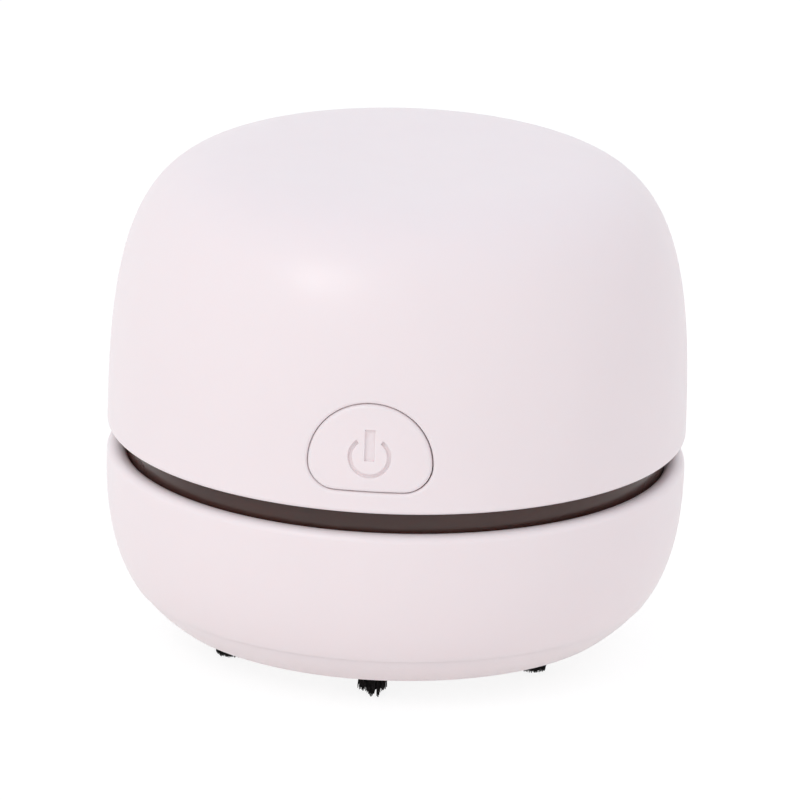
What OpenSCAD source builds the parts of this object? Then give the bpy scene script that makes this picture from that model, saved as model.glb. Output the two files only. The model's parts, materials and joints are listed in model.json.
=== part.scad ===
// Desktop mini vacuum cleaner: a round, hand-sized sweeper for crumbs and dust.
// The upper half (dome, button, battery, motor and fan) lifts off the dust bowl.
// Millimetres. The desk is z = 0, the vertical axis is the axis of both halves,
// and the power button looks along -Y.

/* [Body] */
// Outside diameter of both halves
body_d = 86; // [84:1:104]
// Height of the dome, from its rim to its crown
dome_h = 42; // [40:0.5:52]
// Height of the bowl, from the base plate's floor to the crest of its lip
bowl_h = 22.9; // [21:0.1:30]
// Height of the open slot between bowl and dome
slot_h = 3.3; // [2.5:0.1:5]
// Wall of the dome
dome_wall = 2; // [1.6:0.1:2.4]
// Wall of the bowl
bowl_wall = 2.3; // [1.8:0.1:2.6]
// Floor of the bowl
bowl_floor = 2; // [1.6:0.1:3]
// Radius on the outer edge of the dome's rim
rim_round = 0.7; // [0.3:0.1:0.9]

/* [Base] */
// Height of the base plate's underside over the desk
base_gap = 4.2; // [3:0.1:6]
// Thickness of the base plate's floor
base_floor = 2.4; // [2.2:0.1:4]
// Height of the base plate's side, up to the seam with the bowl
base_side_h = 4.6; // [3.6:0.1:6]
// Diameter of the base plate's underside
base_d = 68; // [64:0.2:70]
// Wall of the base plate's side
base_wall = 1.6; // [1.2:0.1:2]

/* [Suction inlet] */
// Bore of the inlet tube, where a nozzle plugs in
inlet_d = 14; // [10:0.5:18]
// Wall of the inlet tube
inlet_wall = 1.4; // [1:0.1:2]
// Height of the tube's open end over the bowl's floor
inlet_h = 11; // [9:0.5:12]
// Diameter of the flared mouth
mouth_d = 23; // [20:0.5:26]

/* [Brush tufts] */
// Number of tufts round the inlet
tuft_count = 6; // [6:1:6]
// Radius of the circle that the tufts stand on
tuft_ring_r = 26.5; // [25:0.1:28]
// Diameter of one tuft where it leaves its socket
tuft_d = 4.2; // [3.6:0.1:5]
// Depth of a tuft's socket
socket_depth = 1.8; // [1.2:0.1:1.9]
// Rings of strands in a tuft, round the middle strand
strand_rings = 4; // [2:1:4]
// Diameter of one strand
strand_d = 0.24; // [0.16:0.01:0.28]
// How far the outer strands lean out at their tips
strand_splay = 0.55; // [0.2:0.05:0.8]

/* [Filter] */
// Height of the pleated filter
pleat_h = 8; // [6:0.5:8.5]
// Distance between two pleats
pleat_pitch = 3.4; // [2.8:0.1:5]
// Thickness of the filter paper
paper_t = 0.6; // [0.4:0.1:0.8]
// Thickness of the filter frame's ring
frame_wall = 1.5; // [1.2:0.1:2]
// Height of the basket's flange
basket_h = 1.4; // [1.2:0.1:2]

/* [Lock] */
// Turn from the released to the locked position
lock_angle = 22; // [15:1:28]
// Angular width of one lug
lug_width = 6; // [5:0.5:9]
// Height of a lug
lug_h = 1.4; // [1.2:0.1:1.8]
// How far a lug stands out of the spigot
lug_out = 0.9; // [0.7:0.1:1]

/* [Fan and motor] */
// Diameter of the impeller
impeller_d = 48; // [44:1:50]
// Height of the impeller's blades
blade_h = 6; // [5:0.5:6.5]
// Number of blades
blade_count = 9; // [7:1:11]
// Thickness of a blade
blade_t = 1; // [0.8:0.1:1.4]
// Diameter of the motor's can
motor_d = 24.4; // [20:0.2:26]
// Height of the motor's can
motor_h = 16.5; // [12:0.5:17]
// Diameter of the motor's shaft
shaft_d = 2; // [1.5:0.5:2.5]

/* [Battery and boards] */
// Diameter of the lithium cell
cell_d = 14; // [10:0.5:14.5]
// Length of the lithium cell
cell_len = 48.5; // [40:0.5:49]
// Thickness of the circuit boards
board_t = 1; // [0.8:0.1:1.6]

/* [Power button] */
// Width of the button
button_w = 18; // [16:0.2:20]
// Height of the button
button_h = 13; // [12:0.2:14.4]
// Height of the button's lower edge over the dome's rim
button_rise = 3.4; // [3:0.1:5]
// Radius of the button's lower corners
button_corner = 4; // [2:0.5:4.2]
// Gap round the button
button_gap = 0.25; // [0.2:0.05:0.5]
// Travel of the button
button_travel = 0.8; // [0.4:0.1:0.8]
// Depth of the engraved on-off sign
engrave = 0.3; // [0.2:0.05:0.5]

/* [Clearances] */
// Gap between a piece and the face that it rests on
seat_gap = 0.2; // [0.1:0.05:0.3]
// Radial gap between pieces that slide or turn in one another
slide_gap = 0.4; // [0.3:0.05:0.6]
// Radial gap between the shaft and its bearing
shaft_gap = 0.04; // [0.02:0.01:0.06]

/* [Hidden] */
$fn = 96;
eps = 0.02;

// Colours
shell_pink = [0.93, 0.88, 0.89];
smoke_brown = [0.33, 0.22, 0.18];
inner_white = [0.92, 0.92, 0.9];
inner_grey = [0.62, 0.63, 0.65];
dark_grey = [0.2, 0.2, 0.21];
bristle_black = [0.06, 0.06, 0.06];
steel = [0.72, 0.73, 0.75];
brass = [0.8, 0.65, 0.32];
board_green = [0.1, 0.38, 0.22];

// Heights of the main planes, from the desk up
body_r = body_d / 2;
floor_z = base_gap + base_floor;          // bottom face of the bowl
chamber_z = floor_z + bowl_floor;         // top face of the bowl's floor
lip_z = floor_z + bowl_h;                 // crest of the bowl's lip
rim_z = lip_z + slot_h;                   // rim of the dome
top_z = rim_z + dome_h;                   // crown of the dome

// Superellipse profiles of the two shells
dome_n = 6.3;
dome_m = 3;
dome_drop = 1.7;                          // widest plane, below the dome's rim
dome_knee = 0.84;                         // share of the height drawn by height steps
bowl_n = 6.65;
bowl_m = 2.33;
bowl_depth = bowl_h + 2.95;               // height of the bowl's full superellipse
lip_r = (bowl_wall + 0.1) / 2;            // round on the lip
bowl_top = lip_z - lip_r;                 // widest plane of the bowl

// Dust collar: the smoke-brown ring that shows in the slot
collar_seat_z = lip_z - 7.2;
collar_shelf_h = 1.8;                     // ledge that carries the filter basket
collar_r = body_r - bowl_wall - 1.1;      // outside of the ring in the slot
collar_foot_r = body_r - bowl_wall - 0.7; // outside of the ring inside the bowl
collar_wall = 1.9;
collar_in_r = collar_r - collar_wall;
collar_foot_top = bowl_top;
collar_top_z = rim_z + 1.2;
shelf_z = collar_seat_z + collar_shelf_h; // face that the basket rests on
shelf_in_r = collar_in_r - 1.7;

// Filter basket and cartridge
basket_z = shelf_z + seat_gap;
basket_r = collar_in_r - slide_gap + 0.1;
frame_z = basket_z + basket_h + seat_gap;
spigot_wall = 2.1;
spigot_r = collar_in_r - slide_gap;
spigot_in_r = spigot_r - spigot_wall;
gasket_r = spigot_in_r - 0.1;
frame_r = gasket_r - 0.5;
paper_z = frame_z + 0.9;
frame_top = paper_z + pleat_h + 0.9;

// Lift-off head: spigot, fan chamber and deck
spigot_z = frame_z + 0.1;                 // lower edge of the spigot
cover_t = 1.6;
cover_z = frame_top + 0.5;
flange_z = cover_z + cover_t;
flange_t = 2;
fan_z = flange_z + flange_t;              // top of the flange, round the fan chamber
deck_t = 2;
impeller_z = fan_z - 0.3;                 // lower edge of the blades
disc_t = 1;
deck_z = impeller_z + blade_h + disc_t + 0.8;
deck_top = deck_z + deck_t;
impeller_r = impeller_d / 2;
chamber_r = impeller_r + 4.5;             // inside of the fan chamber
chamber_wall = 1.5;
chamber_out_r = chamber_r + chamber_wall;
seal_in_r = spigot_r + lug_out + slide_gap;
seal_out_r = collar_r - 0.2;
shoulder_r = seal_out_r - 0.1;
shoulder_z = collar_top_z + 0.8;
shoulder_h = 0.8;
shoulder_slope = 0.6;

// Screws
pillar_r = 2.6;                           // posts in the dome that take the head screws
pillar_ring_r = chamber_out_r + pillar_r + 0.2;
pillar_angles = [30, 150, 210, 330];
ear_ring_r = chamber_out_r + 2.5;
ear_angles = [60, 180, 300];
base_screw_ring_r = 19;
base_screw_angles = [0, 120, 240];
screw_r = 1;
screw_head_r = 1.9;
screw_head_h = 0.9;
pilot_gap = 0.02;
seam_gap = 0.15;                          // gap of the seams between fixed shells

// Motor, cell and boards
motor_r = motor_d / 2;
shaft_r = shaft_d / 2;
nose_r = 3.1;
cell_r = cell_d / 2;
cell_y = motor_r + cell_r + 0.4;
cell_z = deck_top + cell_r + 4;
board_z = deck_top + 1.5;
board_back_y = dome_r_at(board_z) - dome_wall - 1.4;
port_w = 8.94;
port_h = 3.26;
port_len = 7.35;
port_z = board_z + board_t + port_h / 2;
port_face_y = dome_r_at(port_z) - 1.3;
lamp_x = 7.4;
lamp_r = 1;
lamp_sink = 0.15;                         // how far the lamp's face lies under the dome's surface

// Button and switch
button_z = rim_z + button_rise;           // lower edge of the button
switch_z = button_z + 7.7;
flange_in_r = body_r - dome_wall - 2.1;   // inside of the button's back flange
flange_out_r = flange_in_r + 0.9;
post_tip_y = -(flange_in_r - 0.5);
plunger_r = 1.7;
plunger_len = 3.5;
plunger_out = 1.5;                        // how far the plunger stands out of the switch
switch_w = 6;
switch_depth = 3.5;
switch_front_y = post_tip_y + plunger_out;
switch_board_y = switch_front_y + switch_depth;
switch_board_w = 16;
wire_r = 0.5;

// ---------- shared shapes ----------

function lerp(a, b, t) = a + (b - a) * t;

// n + 1 points on a circular arc from angle a to angle b
function arc(cx, cy, r, a, b, n) =
    [for (i = [0:n]) let (t = lerp(a, b, i / n)) [cx + r * cos(t), cy + r * sin(t)]];

// Outside radius of the dome at a height, and its height at a radius, set in by a wall
function dome_r_at(z, inset = 0) =
    (body_r - inset)
    * pow(1 - pow((z - rim_z + dome_drop) / (dome_h + dome_drop - inset), dome_m), 1 / dome_n);
function dome_z_at(r, inset = 0) =
    rim_z - dome_drop + (dome_h + dome_drop - inset)
    * pow(1 - pow(r / (body_r - inset), dome_n), 1 / dome_m);

// Half section of the dome's outer form, from z = low up to the crown
function dome_profile(low, inset = 0, side_steps = 11, top_steps = 12) =
    let (knee_z = rim_z - dome_drop + (dome_h + dome_drop - inset) * dome_knee,
         knee_r = dome_r_at(knee_z, inset))
    concat(
        [[0, low]],
        [for (i = [0:side_steps]) let (z = lerp(low, knee_z, i / side_steps))
            [dome_r_at(z, inset), z]],
        [for (i = [1:top_steps]) let (r = knee_r * (1 - i / top_steps))
            [r, dome_z_at(r, inset)]]);

// The dome as a solid, set in by a wall, from z = low up
module dome_solid(low, inset = 0) {
    rotate_extrude() polygon(dome_profile(low, inset));
}

// Radius of the bowl at a height, set in by a wall
function bowl_r_at(z, inset = 0) =
    (body_r - inset)
    * pow(1 - pow(max(bowl_top - z, 0) / (bowl_depth - inset), bowl_m), 1 / bowl_n);

// A ring with square edges
module ring(r_out, r_in, z, h) {
    translate([0, 0, z]) difference() {
        cylinder(r = r_out, h = h);
        translate([0, 0, -1]) cylinder(r = r_in, h = h + 2);
    }
}

// Children turned to each angle of a list
module at_angles(angles) {
    for (a = angles) rotate(a) children();
}

// The part of children within half an angle on both sides of +X
module sector(half_angle, reach) {
    intersection() {
        children();
        linear_extrude(height = 200) polygon([
            [0, 0],
            [reach, -reach * tan(half_angle)],
            [reach, reach * tan(half_angle)]
        ]);
    }
}

// A countersunk screw with its head's face at z = 0, pointing up
module screw(len) {
    cylinder(r1 = screw_head_r, r2 = screw_r, h = screw_head_h);
    translate([0, 0, screw_head_h - eps]) cylinder(r = screw_r, h = len - screw_head_h + eps);
}

// What a countersunk screw takes out of the plate that it holds
module screw_seat(plate_t) {
    gap = 0.1;
    translate([0, 0, -1]) cylinder(r = screw_head_r + gap, h = 1 + gap);
    translate([0, 0, gap - eps])
        cylinder(r1 = screw_head_r + gap, r2 = screw_r + gap, h = screw_head_h);
    cylinder(r = screw_r + gap, h = plate_t + 1);
}

// A round tube swept along points, as one closed mesh
module sweep(path, r, sides = 8) {
    n = len(path);
    function along(i) =
        let (a = path[max(i - 1, 0)], b = path[min(i + 1, n - 1)], d = b - a) d / norm(d);
    function side(t) =
        let (ref = abs(t[2]) > 0.9 ? [1, 0, 0] : [0, 0, 1], s = cross(t, ref)) s / norm(s);
    points = [for (i = [0:n - 1]) let (t = along(i), s = side(t), u = cross(s, t))
        for (k = [0:sides - 1]) let (a = 360 * k / sides)
            path[i] + r * (s * cos(a) + u * sin(a))];
    caps = [[for (k = [sides - 1:-1:0]) k],
            [for (k = [0:sides - 1]) (n - 1) * sides + k]];
    walls = [for (i = [0:n - 2]) for (k = [0:sides - 1])
        let (a = i * sides + k, b = i * sides + (k + 1) % sides)
            each [[a, b, a + sides], [b, b + sides, a + sides]]];
    polyhedron(points, concat(caps, walls));
}

// Points on a smooth curve through hand-chosen points, steps to each stretch
function smooth(p, steps) =
    let (last = len(p) - 1)
    concat([for (i = [0:last - 1]) for (k = [0:steps - 1])
        let (a = p[max(i - 1, 0)], b = p[i], c = p[i + 1], d = p[min(i + 2, last)],
             t = k / steps)
        0.5 * (2 * b + (c - a) * t + (2 * a - 5 * b + 4 * c - d) * t * t
               + (3 * b - a - 3 * c + d) * t * t * t)],
        [p[last]]);

// ---------- base: plate, tufts, inlet ----------

base_r = base_d / 2;
socket_r = tuft_d / 2;
mouth_r = mouth_d / 2;
inlet_r = inlet_d / 2;
tube_r = inlet_r + inlet_wall;
mouth_flange_r = mouth_r + 3.2;
mouth_flange_h = 1.1;
mouth_face_z = base_gap + 0.7;
tuft_angles = [for (i = [0:tuft_count - 1]) -90 + i * 360 / tuft_count];

seam_z = base_gap + base_side_h;          // seam between base plate and bowl
seam_r = bowl_r_at(seam_z) - 0.3;
dish_r = base_r - base_wall + 1.9;        // inside of the base plate at its floor
dish_top_r = seam_r - base_wall - 0.2;    // inside of the base plate at the seam

// Side of the base plate from its floor to the seam, a little convex
function base_side(steps) =
    let (edge = 0.6, bulge = 0.35)
    concat(
        arc(base_r - edge, base_gap + edge, edge, -90, -35, 4),
        [for (i = [1:steps]) let (t = i / steps)
            [lerp(base_r - 0.1, seam_r, t) + bulge * 4 * t * (1 - t),
             lerp(base_gap + 0.26, seam_z, t)]]);

module base_plate() {
    dish_depth = 0.6;
    dish_edge_r = base_screw_ring_r + 3.4;
    color(shell_pink) difference() {
        rotate_extrude() polygon(concat(
            [[0, base_gap]], base_side(6),
            [[dish_top_r, seam_z], [dish_r, floor_z], [0, floor_z]]));
        // Shallow dish round the inlet
        translate([0, 0, base_gap - 1]) cylinder(r1 = dish_edge_r + 1, r2 = dish_edge_r - dish_depth,
                                                 h = dish_depth + 1);
        // Hole for the mouth of the inlet, with a step that traps its flange
        translate([0, 0, base_gap - 1]) cylinder(r = mouth_r + 0.6, h = base_floor + 2);
        translate([0, 0, floor_z - mouth_flange_h - 0.1])
            cylinder(r = mouth_flange_r + 0.2, h = base_floor);
        for (a = tuft_angles) rotate(a) translate([tuft_ring_r, 0, base_gap - 1])
            cylinder(r = socket_r, h = socket_depth + 1);
        at_angles(base_screw_angles) translate([base_screw_ring_r, 0, base_gap + dish_depth])
            screw_seat(base_floor);
    }
}

module base_screws() {
    color(steel) at_angles(base_screw_angles)
        translate([base_screw_ring_r, 0, base_gap + 0.7]) screw(6);
}

// Strands stand on rings round the middle one; the inner ones reach the desk
strand_spots = concat([[0, 0]], [for (k = [1:strand_rings]) for (i = [0:6 * k - 1])
    let (a = 360 * i / (6 * k) + 11 * k, r = (socket_r - 0.2) * k / strand_rings)
        [r * cos(a), r * sin(a)]]);

// How far a strand's tip stops short of the desk; under 0 means that it is cut flat there
function strand_short(i, spot) =
    let (share = norm(spot) / socket_r)
    -0.5 + 2.1 * share * share + 0.45 * sin(137 * i) * share;

// One strand, of three sides, from inside the tuft's backing to its tip
module strand(i, spot) {
    root_z = base_gap + 0.5;
    tip_z = max(0, strand_short(i, spot));
    lean = strand_splay / socket_r;
    tip = spot * (1 + lean);
    r = strand_d / 2;
    tip_r = r * 0.75;
    corners = [for (k = [0:2]) [cos(120 * k + 40 * i), sin(120 * k + 40 * i)]];
    polyhedron(
        concat([for (c = corners) [spot[0] + r * c[0], spot[1] + r * c[1], root_z]],
               [for (c = corners) [tip[0] + tip_r * c[0], tip[1] + tip_r * c[1], tip_z]]),
        [[0, 2, 1], [3, 4, 5],
         [0, 1, 3], [1, 4, 3], [1, 2, 4], [2, 5, 4], [2, 0, 5], [0, 3, 5]]);
}

module brush_tuft(index) {
    backing_h = socket_depth - 0.4;
    color(bristle_black) rotate(tuft_angles[index - 1]) translate([tuft_ring_r, 0, 0]) {
        translate([0, 0, base_gap + 0.3]) cylinder(r = socket_r - 0.04, h = backing_h);
        for (i = [0:len(strand_spots) - 1]) strand(i, strand_spots[i]);
    }
}

// Tube that lifts the dust into the bowl, with a hood that turns it aside
module inlet_tube() {
    flare_steps = 8;
    flare_w = mouth_r - 0.8 - inlet_r;
    flare_h = chamber_z - mouth_face_z;
    tube_top = chamber_z + inlet_h;
    hood_z = tube_top + 1.6;
    hood_t = 1.1;
    hood_r = tube_r + 1.2;
    color(smoke_brown) {
        rotate_extrude() polygon(concat(
            [for (i = [0:flare_steps]) let (t = 90 * i / flare_steps)
                [inlet_r + flare_w * (1 - cos(t)), chamber_z - flare_h * sin(t)]],
            [[mouth_r, mouth_face_z],
             [mouth_r, floor_z - mouth_flange_h], [mouth_flange_r, floor_z - mouth_flange_h],
             [mouth_flange_r, floor_z - 0.05], [tube_r, floor_z - 0.05],
             [tube_r, tube_top], [inlet_r, tube_top]]));
        // Hood on three legs
        translate([0, 0, hood_z]) cylinder(r1 = hood_r, r2 = hood_r - 0.6, h = hood_t);
        for (a = [30, 150, 270]) rotate(a) translate([inlet_r + 0.2, -0.9, tube_top - 2])
            cube([inlet_wall - 0.4, 1.8, 2 + hood_z - tube_top + eps]);
    }
}

// ---------- dust bowl and collar ----------

module dust_bowl() {
    steps = 16;
    boss_r = 2.9;
    boss_h = 4.6;
    ledge_r = collar_foot_r - 1.5;
    // Inside of the bowl, up to the ledge and then to the lip
    inner = [for (i = [0:steps]) let (z = lerp(chamber_z, bowl_top, i / steps))
        [bowl_r_at(z, bowl_wall), z]];
    outer = [for (i = [0:steps]) let (z = lerp(seam_z + seam_gap, bowl_top, i / steps))
        [bowl_r_at(z), z]];
    lip_x = body_r - bowl_wall / 2;
    lip = [for (i = [1:7]) let (a = 180 * i / 8)
        [lip_x + bowl_wall / 2 * cos(a), bowl_top + lip_r * sin(a)]];
    color(shell_pink) difference() {
        union() {
            rotate_extrude() polygon(concat(
                [[0, floor_z], [dish_r - seam_gap, floor_z],
                 [dish_top_r - seam_gap, seam_z + seam_gap]],
                outer, lip,
                [for (i = [steps:-1:0]) inner[i]],
                [[0, chamber_z]]));
            // Ledge that the collar stands on, chamfered below
            rotate_extrude() polygon([
                [ledge_r, collar_seat_z], [body_r - bowl_wall + 0.6, collar_seat_z],
                [body_r - bowl_wall + 0.6, collar_seat_z - 3.6],
                [ledge_r, collar_seat_z - 1.2]]);
            at_angles(base_screw_angles) translate([base_screw_ring_r, 0, floor_z + eps])
                cylinder(r = boss_r, h = bowl_floor + boss_h);
        }
        // Hole for the inlet tube, and pilot holes for the base screws
        translate([0, 0, floor_z - 1]) cylinder(r = tube_r + slide_gap / 2, h = bowl_floor + 2);
        at_angles(base_screw_angles) translate([base_screw_ring_r, 0, floor_z - 1])
            cylinder(r = screw_r + pilot_gap, h = bowl_floor + boss_h);
    }
}

// Half-open channel in the collar's inside, for one lug: down, then round
module lug_channel() {
    reach = body_r;
    side = 0.9;                                   // angular play of a lug, each side
    half = lug_width / 2 + side;
    depth_r = seal_in_r;
    low = lug_z - 0.3;
    translate([0, 0, low]) sector(half, reach)
        ring(depth_r, shelf_in_r, 0, collar_top_z - low + 1);
    translate([0, 0, low]) rotate(lock_angle / 2) sector(half + lock_angle / 2, reach)
        ring(depth_r, shelf_in_r, 0, lug_h + 0.6);
}

lug_z = spigot_z + 1.1;
lug_angles = [30, 150, 270];

module dust_collar() {
    color(smoke_brown) difference() {
        rotate_extrude() polygon([
            [shelf_in_r, collar_seat_z], [collar_foot_r, collar_seat_z],
            [collar_foot_r, collar_foot_top - 0.6], [collar_r, collar_foot_top],
            [collar_r, collar_top_z - 0.15], [collar_r - 0.15, collar_top_z],
            [collar_in_r, collar_top_z], [collar_in_r, shelf_z], [shelf_in_r, shelf_z]]);
        at_angles(lug_angles) lug_channel();
    }
}

// ---------- filter: basket, frame, paper, gasket ----------

key_angles = [90, 210, 330];
key_width = 8;                                    // degrees

// Keys of the basket, or with play the notches that they fit, in the spigot's wall
module basket_keys(r_out, r_in, extra_angle, extra_h) {
    at_angles(key_angles) sector(key_width / 2 + extra_angle, body_r)
        ring(r_out, r_in, basket_z + basket_h - eps,
             spigot_z - basket_z - basket_h + 1.2 + extra_h);
}

module filter_basket() {
    hub_r = 3;
    bar = 1.2;
    grid_h = 1.1;
    rim_in_r = frame_r - frame_wall - 1;
    color(inner_grey) {
        ring(basket_r, rim_in_r, basket_z, basket_h);
        translate([0, 0, basket_z]) cylinder(r = hub_r, h = grid_h);
        for (k = [1:4]) let (r = lerp(hub_r, rim_in_r, k / 5))
            ring(r + bar / 2, r - bar / 2, basket_z, grid_h);
        for (i = [0:7]) rotate(i * 45 + 22.5) translate([hub_r - 0.5, -bar / 2, basket_z])
            cube([rim_in_r - hub_r + 1, bar, grid_h]);
        basket_keys(spigot_r - 0.1, spigot_in_r + 0.1, 0, 0);
    }
}

module filter_frame() {
    bar = 3;
    inner_r = frame_r - frame_wall;
    tab_h = 0.8;
    color(inner_white) {
        ring(frame_r, inner_r, frame_z, frame_top - frame_z);
        ring(inner_r + eps, inner_r - 1.4, frame_z, 0.8);
        // Bar across the top, with a finger tab at its middle
        translate([-inner_r - eps, -bar / 2, frame_top - tab_h]) cube([2 * inner_r + 2 * eps, bar, tab_h]);
        translate([0, 0, frame_top - tab_h]) cylinder(r = 6, h = tab_h);
    }
}

// Zigzag of folded paper across the frame
module filter_pleats() {
    r = frame_r - frame_wall - 0.1;
    count = ceil(r / pleat_pitch);
    half_t = paper_t / 2 * sqrt(1 + pow(2 * pleat_h / pleat_pitch, 2));
    crease = [for (i = [-2 * count:2 * count])
        [i * pleat_pitch / 2, i % 2 == 0 ? paper_z + half_t : paper_z + pleat_h - half_t]];
    fold = concat(
        [for (p = crease) [p[0], p[1] - half_t]],
        [for (i = [len(crease) - 1:-1:0]) [crease[i][0], crease[i][1] + half_t]]);
    color("ghostwhite") intersection() {
        rotate([90, 0, 0]) linear_extrude(height = 4 * r, center = true) polygon(fold);
        translate([0, 0, frame_z]) cylinder(r = r, h = pleat_h + 3);
    }
}

module filter_gasket() {
    groove = 0.35;
    color(dark_grey) translate([0, 0, frame_z + 3]) for (k = [0:1])
        ring(gasket_r, frame_r, k * 1.6, 0.9);
    color(dark_grey) ring(frame_r + groove, frame_r, frame_z + 3, 2.5);
}

// ---------- lift-off head: dome and fan housing ----------

// Outline of the button, with its lower edge at 0, grown by g
module button_outline(g = 0) {
    r = button_w / 2;
    top_y = button_h - r;
    c = button_corner;
    polygon(concat(
        arc(0, top_y, r + g, 0, 180, 24),
        arc(-r + c, c, c + g, 180, 270, 6),
        arc(r - c, c, c + g, 270, 360, 6)));
}

// A flat outline stood up in front of the dome, reaching in to y = -inner
module front_prism(inner) {
    translate([0, -inner, button_z]) rotate([90, 0, 0])
        linear_extrude(height = body_r + 5 - inner) children();
}

// Rounded slot for the charging port, along Y
module port_prism(w, h, y0, y1) {
    r = h / 2;
    translate([0, y1, port_z]) rotate([90, 0, 0]) linear_extrude(height = y1 - y0)
        polygon(concat(arc(w / 2 - r, 0, r, -90, 90, 10), arc(-w / 2 + r, 0, r, 90, 270, 10)));
}

module top_shell() {
    pilot_h = 11;
    color(shell_pink) difference() {
        union() {
            difference() {
                intersection() {
                    dome_solid(rim_z);
                    // Round on the rim's outer edge
                    rotate_extrude() polygon(concat(
                        [[0, rim_z]],
                        arc(body_r - rim_round, rim_z + rim_round, rim_round, -90, 0, 5),
                        [[body_r, top_z + 1], [0, top_z + 1]]));
                }
                dome_solid(rim_z - 1, dome_wall);
            }
            // Posts for the head screws, cut to the inside of the dome
            intersection() {
                for (a = pillar_angles) rotate(a) translate([pillar_ring_r, 0, fan_z + seat_gap])
                    cylinder(r = pillar_r, h = dome_h);
                dome_solid(rim_z, dome_wall / 2);
            }
        }
        for (a = pillar_angles) rotate(a) translate([pillar_ring_r, 0, fan_z - 1])
            cylinder(r = screw_r + pilot_gap, h = pilot_h);
        front_prism(body_r / 2) button_outline(button_gap);
        port_prism(port_w + 0.6, port_h + 0.6, body_r / 2, body_r + 5);
        translate([lamp_x, body_r / 2, port_z]) rotate([-90, 0, 0])
            cylinder(r = lamp_r + 0.1, h = body_r);
    }
}

// Carrier of everything in the head: spigot, flange, fan chamber and deck
module fan_housing() {
    window_h = deck_z - fan_z - 1.5;
    color(inner_white) difference() {
        union() {
            // Spigot with its shoulder, flange, chamber wall and deck as one section
            rotate_extrude() polygon([
                [impeller_r + 2.5, flange_z], [spigot_in_r, flange_z], [spigot_in_r, spigot_z],
                [spigot_r, spigot_z], [spigot_r, shoulder_z],
                [shoulder_r, shoulder_z], [shoulder_r, shoulder_z + shoulder_h],
                [spigot_r, shoulder_z + shoulder_h + shoulder_slope], [spigot_r, fan_z],
                [chamber_out_r, fan_z], [chamber_out_r, deck_top], [0, deck_top],
                [0, deck_z], [chamber_r, deck_z], [chamber_r, fan_z],
                [impeller_r + 2.5, fan_z]]);
            at_angles(lug_angles) sector(lug_width / 2, body_r)
                ring(spigot_r + lug_out, spigot_r - 0.5, lug_z, lug_h);
            at_angles(ear_angles) translate([ear_ring_r, 0, fan_z - eps])
                cylinder(r = 2.7, h = 4);
            cell_saddles();
            board_standoffs();
            switch_rails();
        }
        // Outlets of the fan chamber
        for (i = [0:11]) rotate(30 * i + 15) sector(9, body_r)
            ring(chamber_out_r + 0.5, chamber_r - 0.5, fan_z + 0.5, window_h);
        // Hole for the motor's nose, and seats for its screws
        translate([0, 0, deck_z - 1]) cylinder(r = nose_r + 0.1, h = deck_t + 2);
        for (x = motor_screw_x) translate([x, 0, deck_z]) screw_seat(deck_t);
        at_angles(pillar_angles) translate([pillar_ring_r, 0, flange_z]) screw_seat(flange_t);
        at_angles(ear_angles) translate([ear_ring_r, 0, flange_z - 1])
            cylinder(r = screw_r + pilot_gap, h = 6);
        basket_keys(spigot_r + 1, spigot_in_r - 1, 1, 0.3);
        for (x = board_screw_x) translate([x, board_screw_y, deck_top - 0.8])
            cylinder(r = screw_r + pilot_gap, h = 5);
    }
}

motor_screw_x = [4.2 - motor_r, motor_r - 4.2];

// Two saddles that hold the cell, a little past its middle
module cell_saddles() {
    saddle_t = 3;
    top = cell_z + 1.5;
    side = cell_r + 1.4;
    for (x = [-15, 15]) difference() {
        translate([x - saddle_t / 2, cell_y - side + 0.9, deck_top - eps])
            cube([saddle_t, 2 * side - 0.9, top - deck_top]);
        translate([x - saddle_t, cell_y, cell_z]) rotate([0, 90, 0])
            cylinder(r = cell_r + seat_gap, h = 2 * saddle_t);
    }
}

board_front_y = cell_y - 2.6;             // edge of the charging board, under the cell
board_screw_x = [-6.5, 6.5];
board_screw_y = board_front_y + 8.5;

module board_standoffs() {
    for (x = board_screw_x) translate([x, board_screw_y, deck_top - eps])
        cylinder(r = 2, h = board_z - deck_top + eps);
}

// Two grooved rails that hold the switch board upright
module switch_rails() {
    rail_w = 2;
    rail_h = 6;
    y = switch_board_y;
    for (s = [-1, 1]) difference() {
        translate([s * switch_board_w / 2 - rail_w / 2, y - 1.2, fan_z - eps])
            cube([rail_w, board_t + 2.4, rail_h]);
        translate([-switch_board_w / 2 - 0.2, y - 0.1, fan_z + 0.4])
            cube([switch_board_w + 0.4, board_t + 0.2, rail_h]);
    }
}

// Soft ring on the collar, which seals the head's shoulder
module head_gasket() {
    seal_z = collar_top_z + seat_gap;
    color(dark_grey) ring(seal_out_r, seal_in_r, seal_z, shoulder_z - seal_z);
}

// Plate under the impeller, with a guard over its eye
module fan_cover() {
    eye_r = 11;
    bar = 1;
    plate_r = chamber_out_r + 0.5;
    color(inner_grey) difference() {
        union() {
            ring(plate_r, eye_r, cover_z, cover_t);
            at_angles(ear_angles) translate([ear_ring_r, 0, cover_z]) cylinder(r = 2.4, h = cover_t);
            translate([0, 0, cover_z]) cylinder(r = 2.4, h = cover_t - 0.4);
            for (r = [5.2, 8.1]) ring(r + bar / 2, r - bar / 2, cover_z, cover_t - 0.4);
            for (i = [0:5]) rotate(60 * i + 30) translate([1.5, -bar / 2, cover_z])
                cube([eye_r - 1, bar, cover_t - 0.4]);
        }
        at_angles(ear_angles) translate([ear_ring_r, 0, cover_z]) screw_seat(cover_t);
    }
}

module fan_cover_screws() {
    color(steel) at_angles(ear_angles) translate([ear_ring_r, 0, cover_z + 0.1]) screw(6);
}

module head_screws() {
    color(steel) at_angles(pillar_angles) translate([pillar_ring_r, 0, flange_z + 0.1]) screw(9);
}

// ---------- motor and impeller ----------

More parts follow.
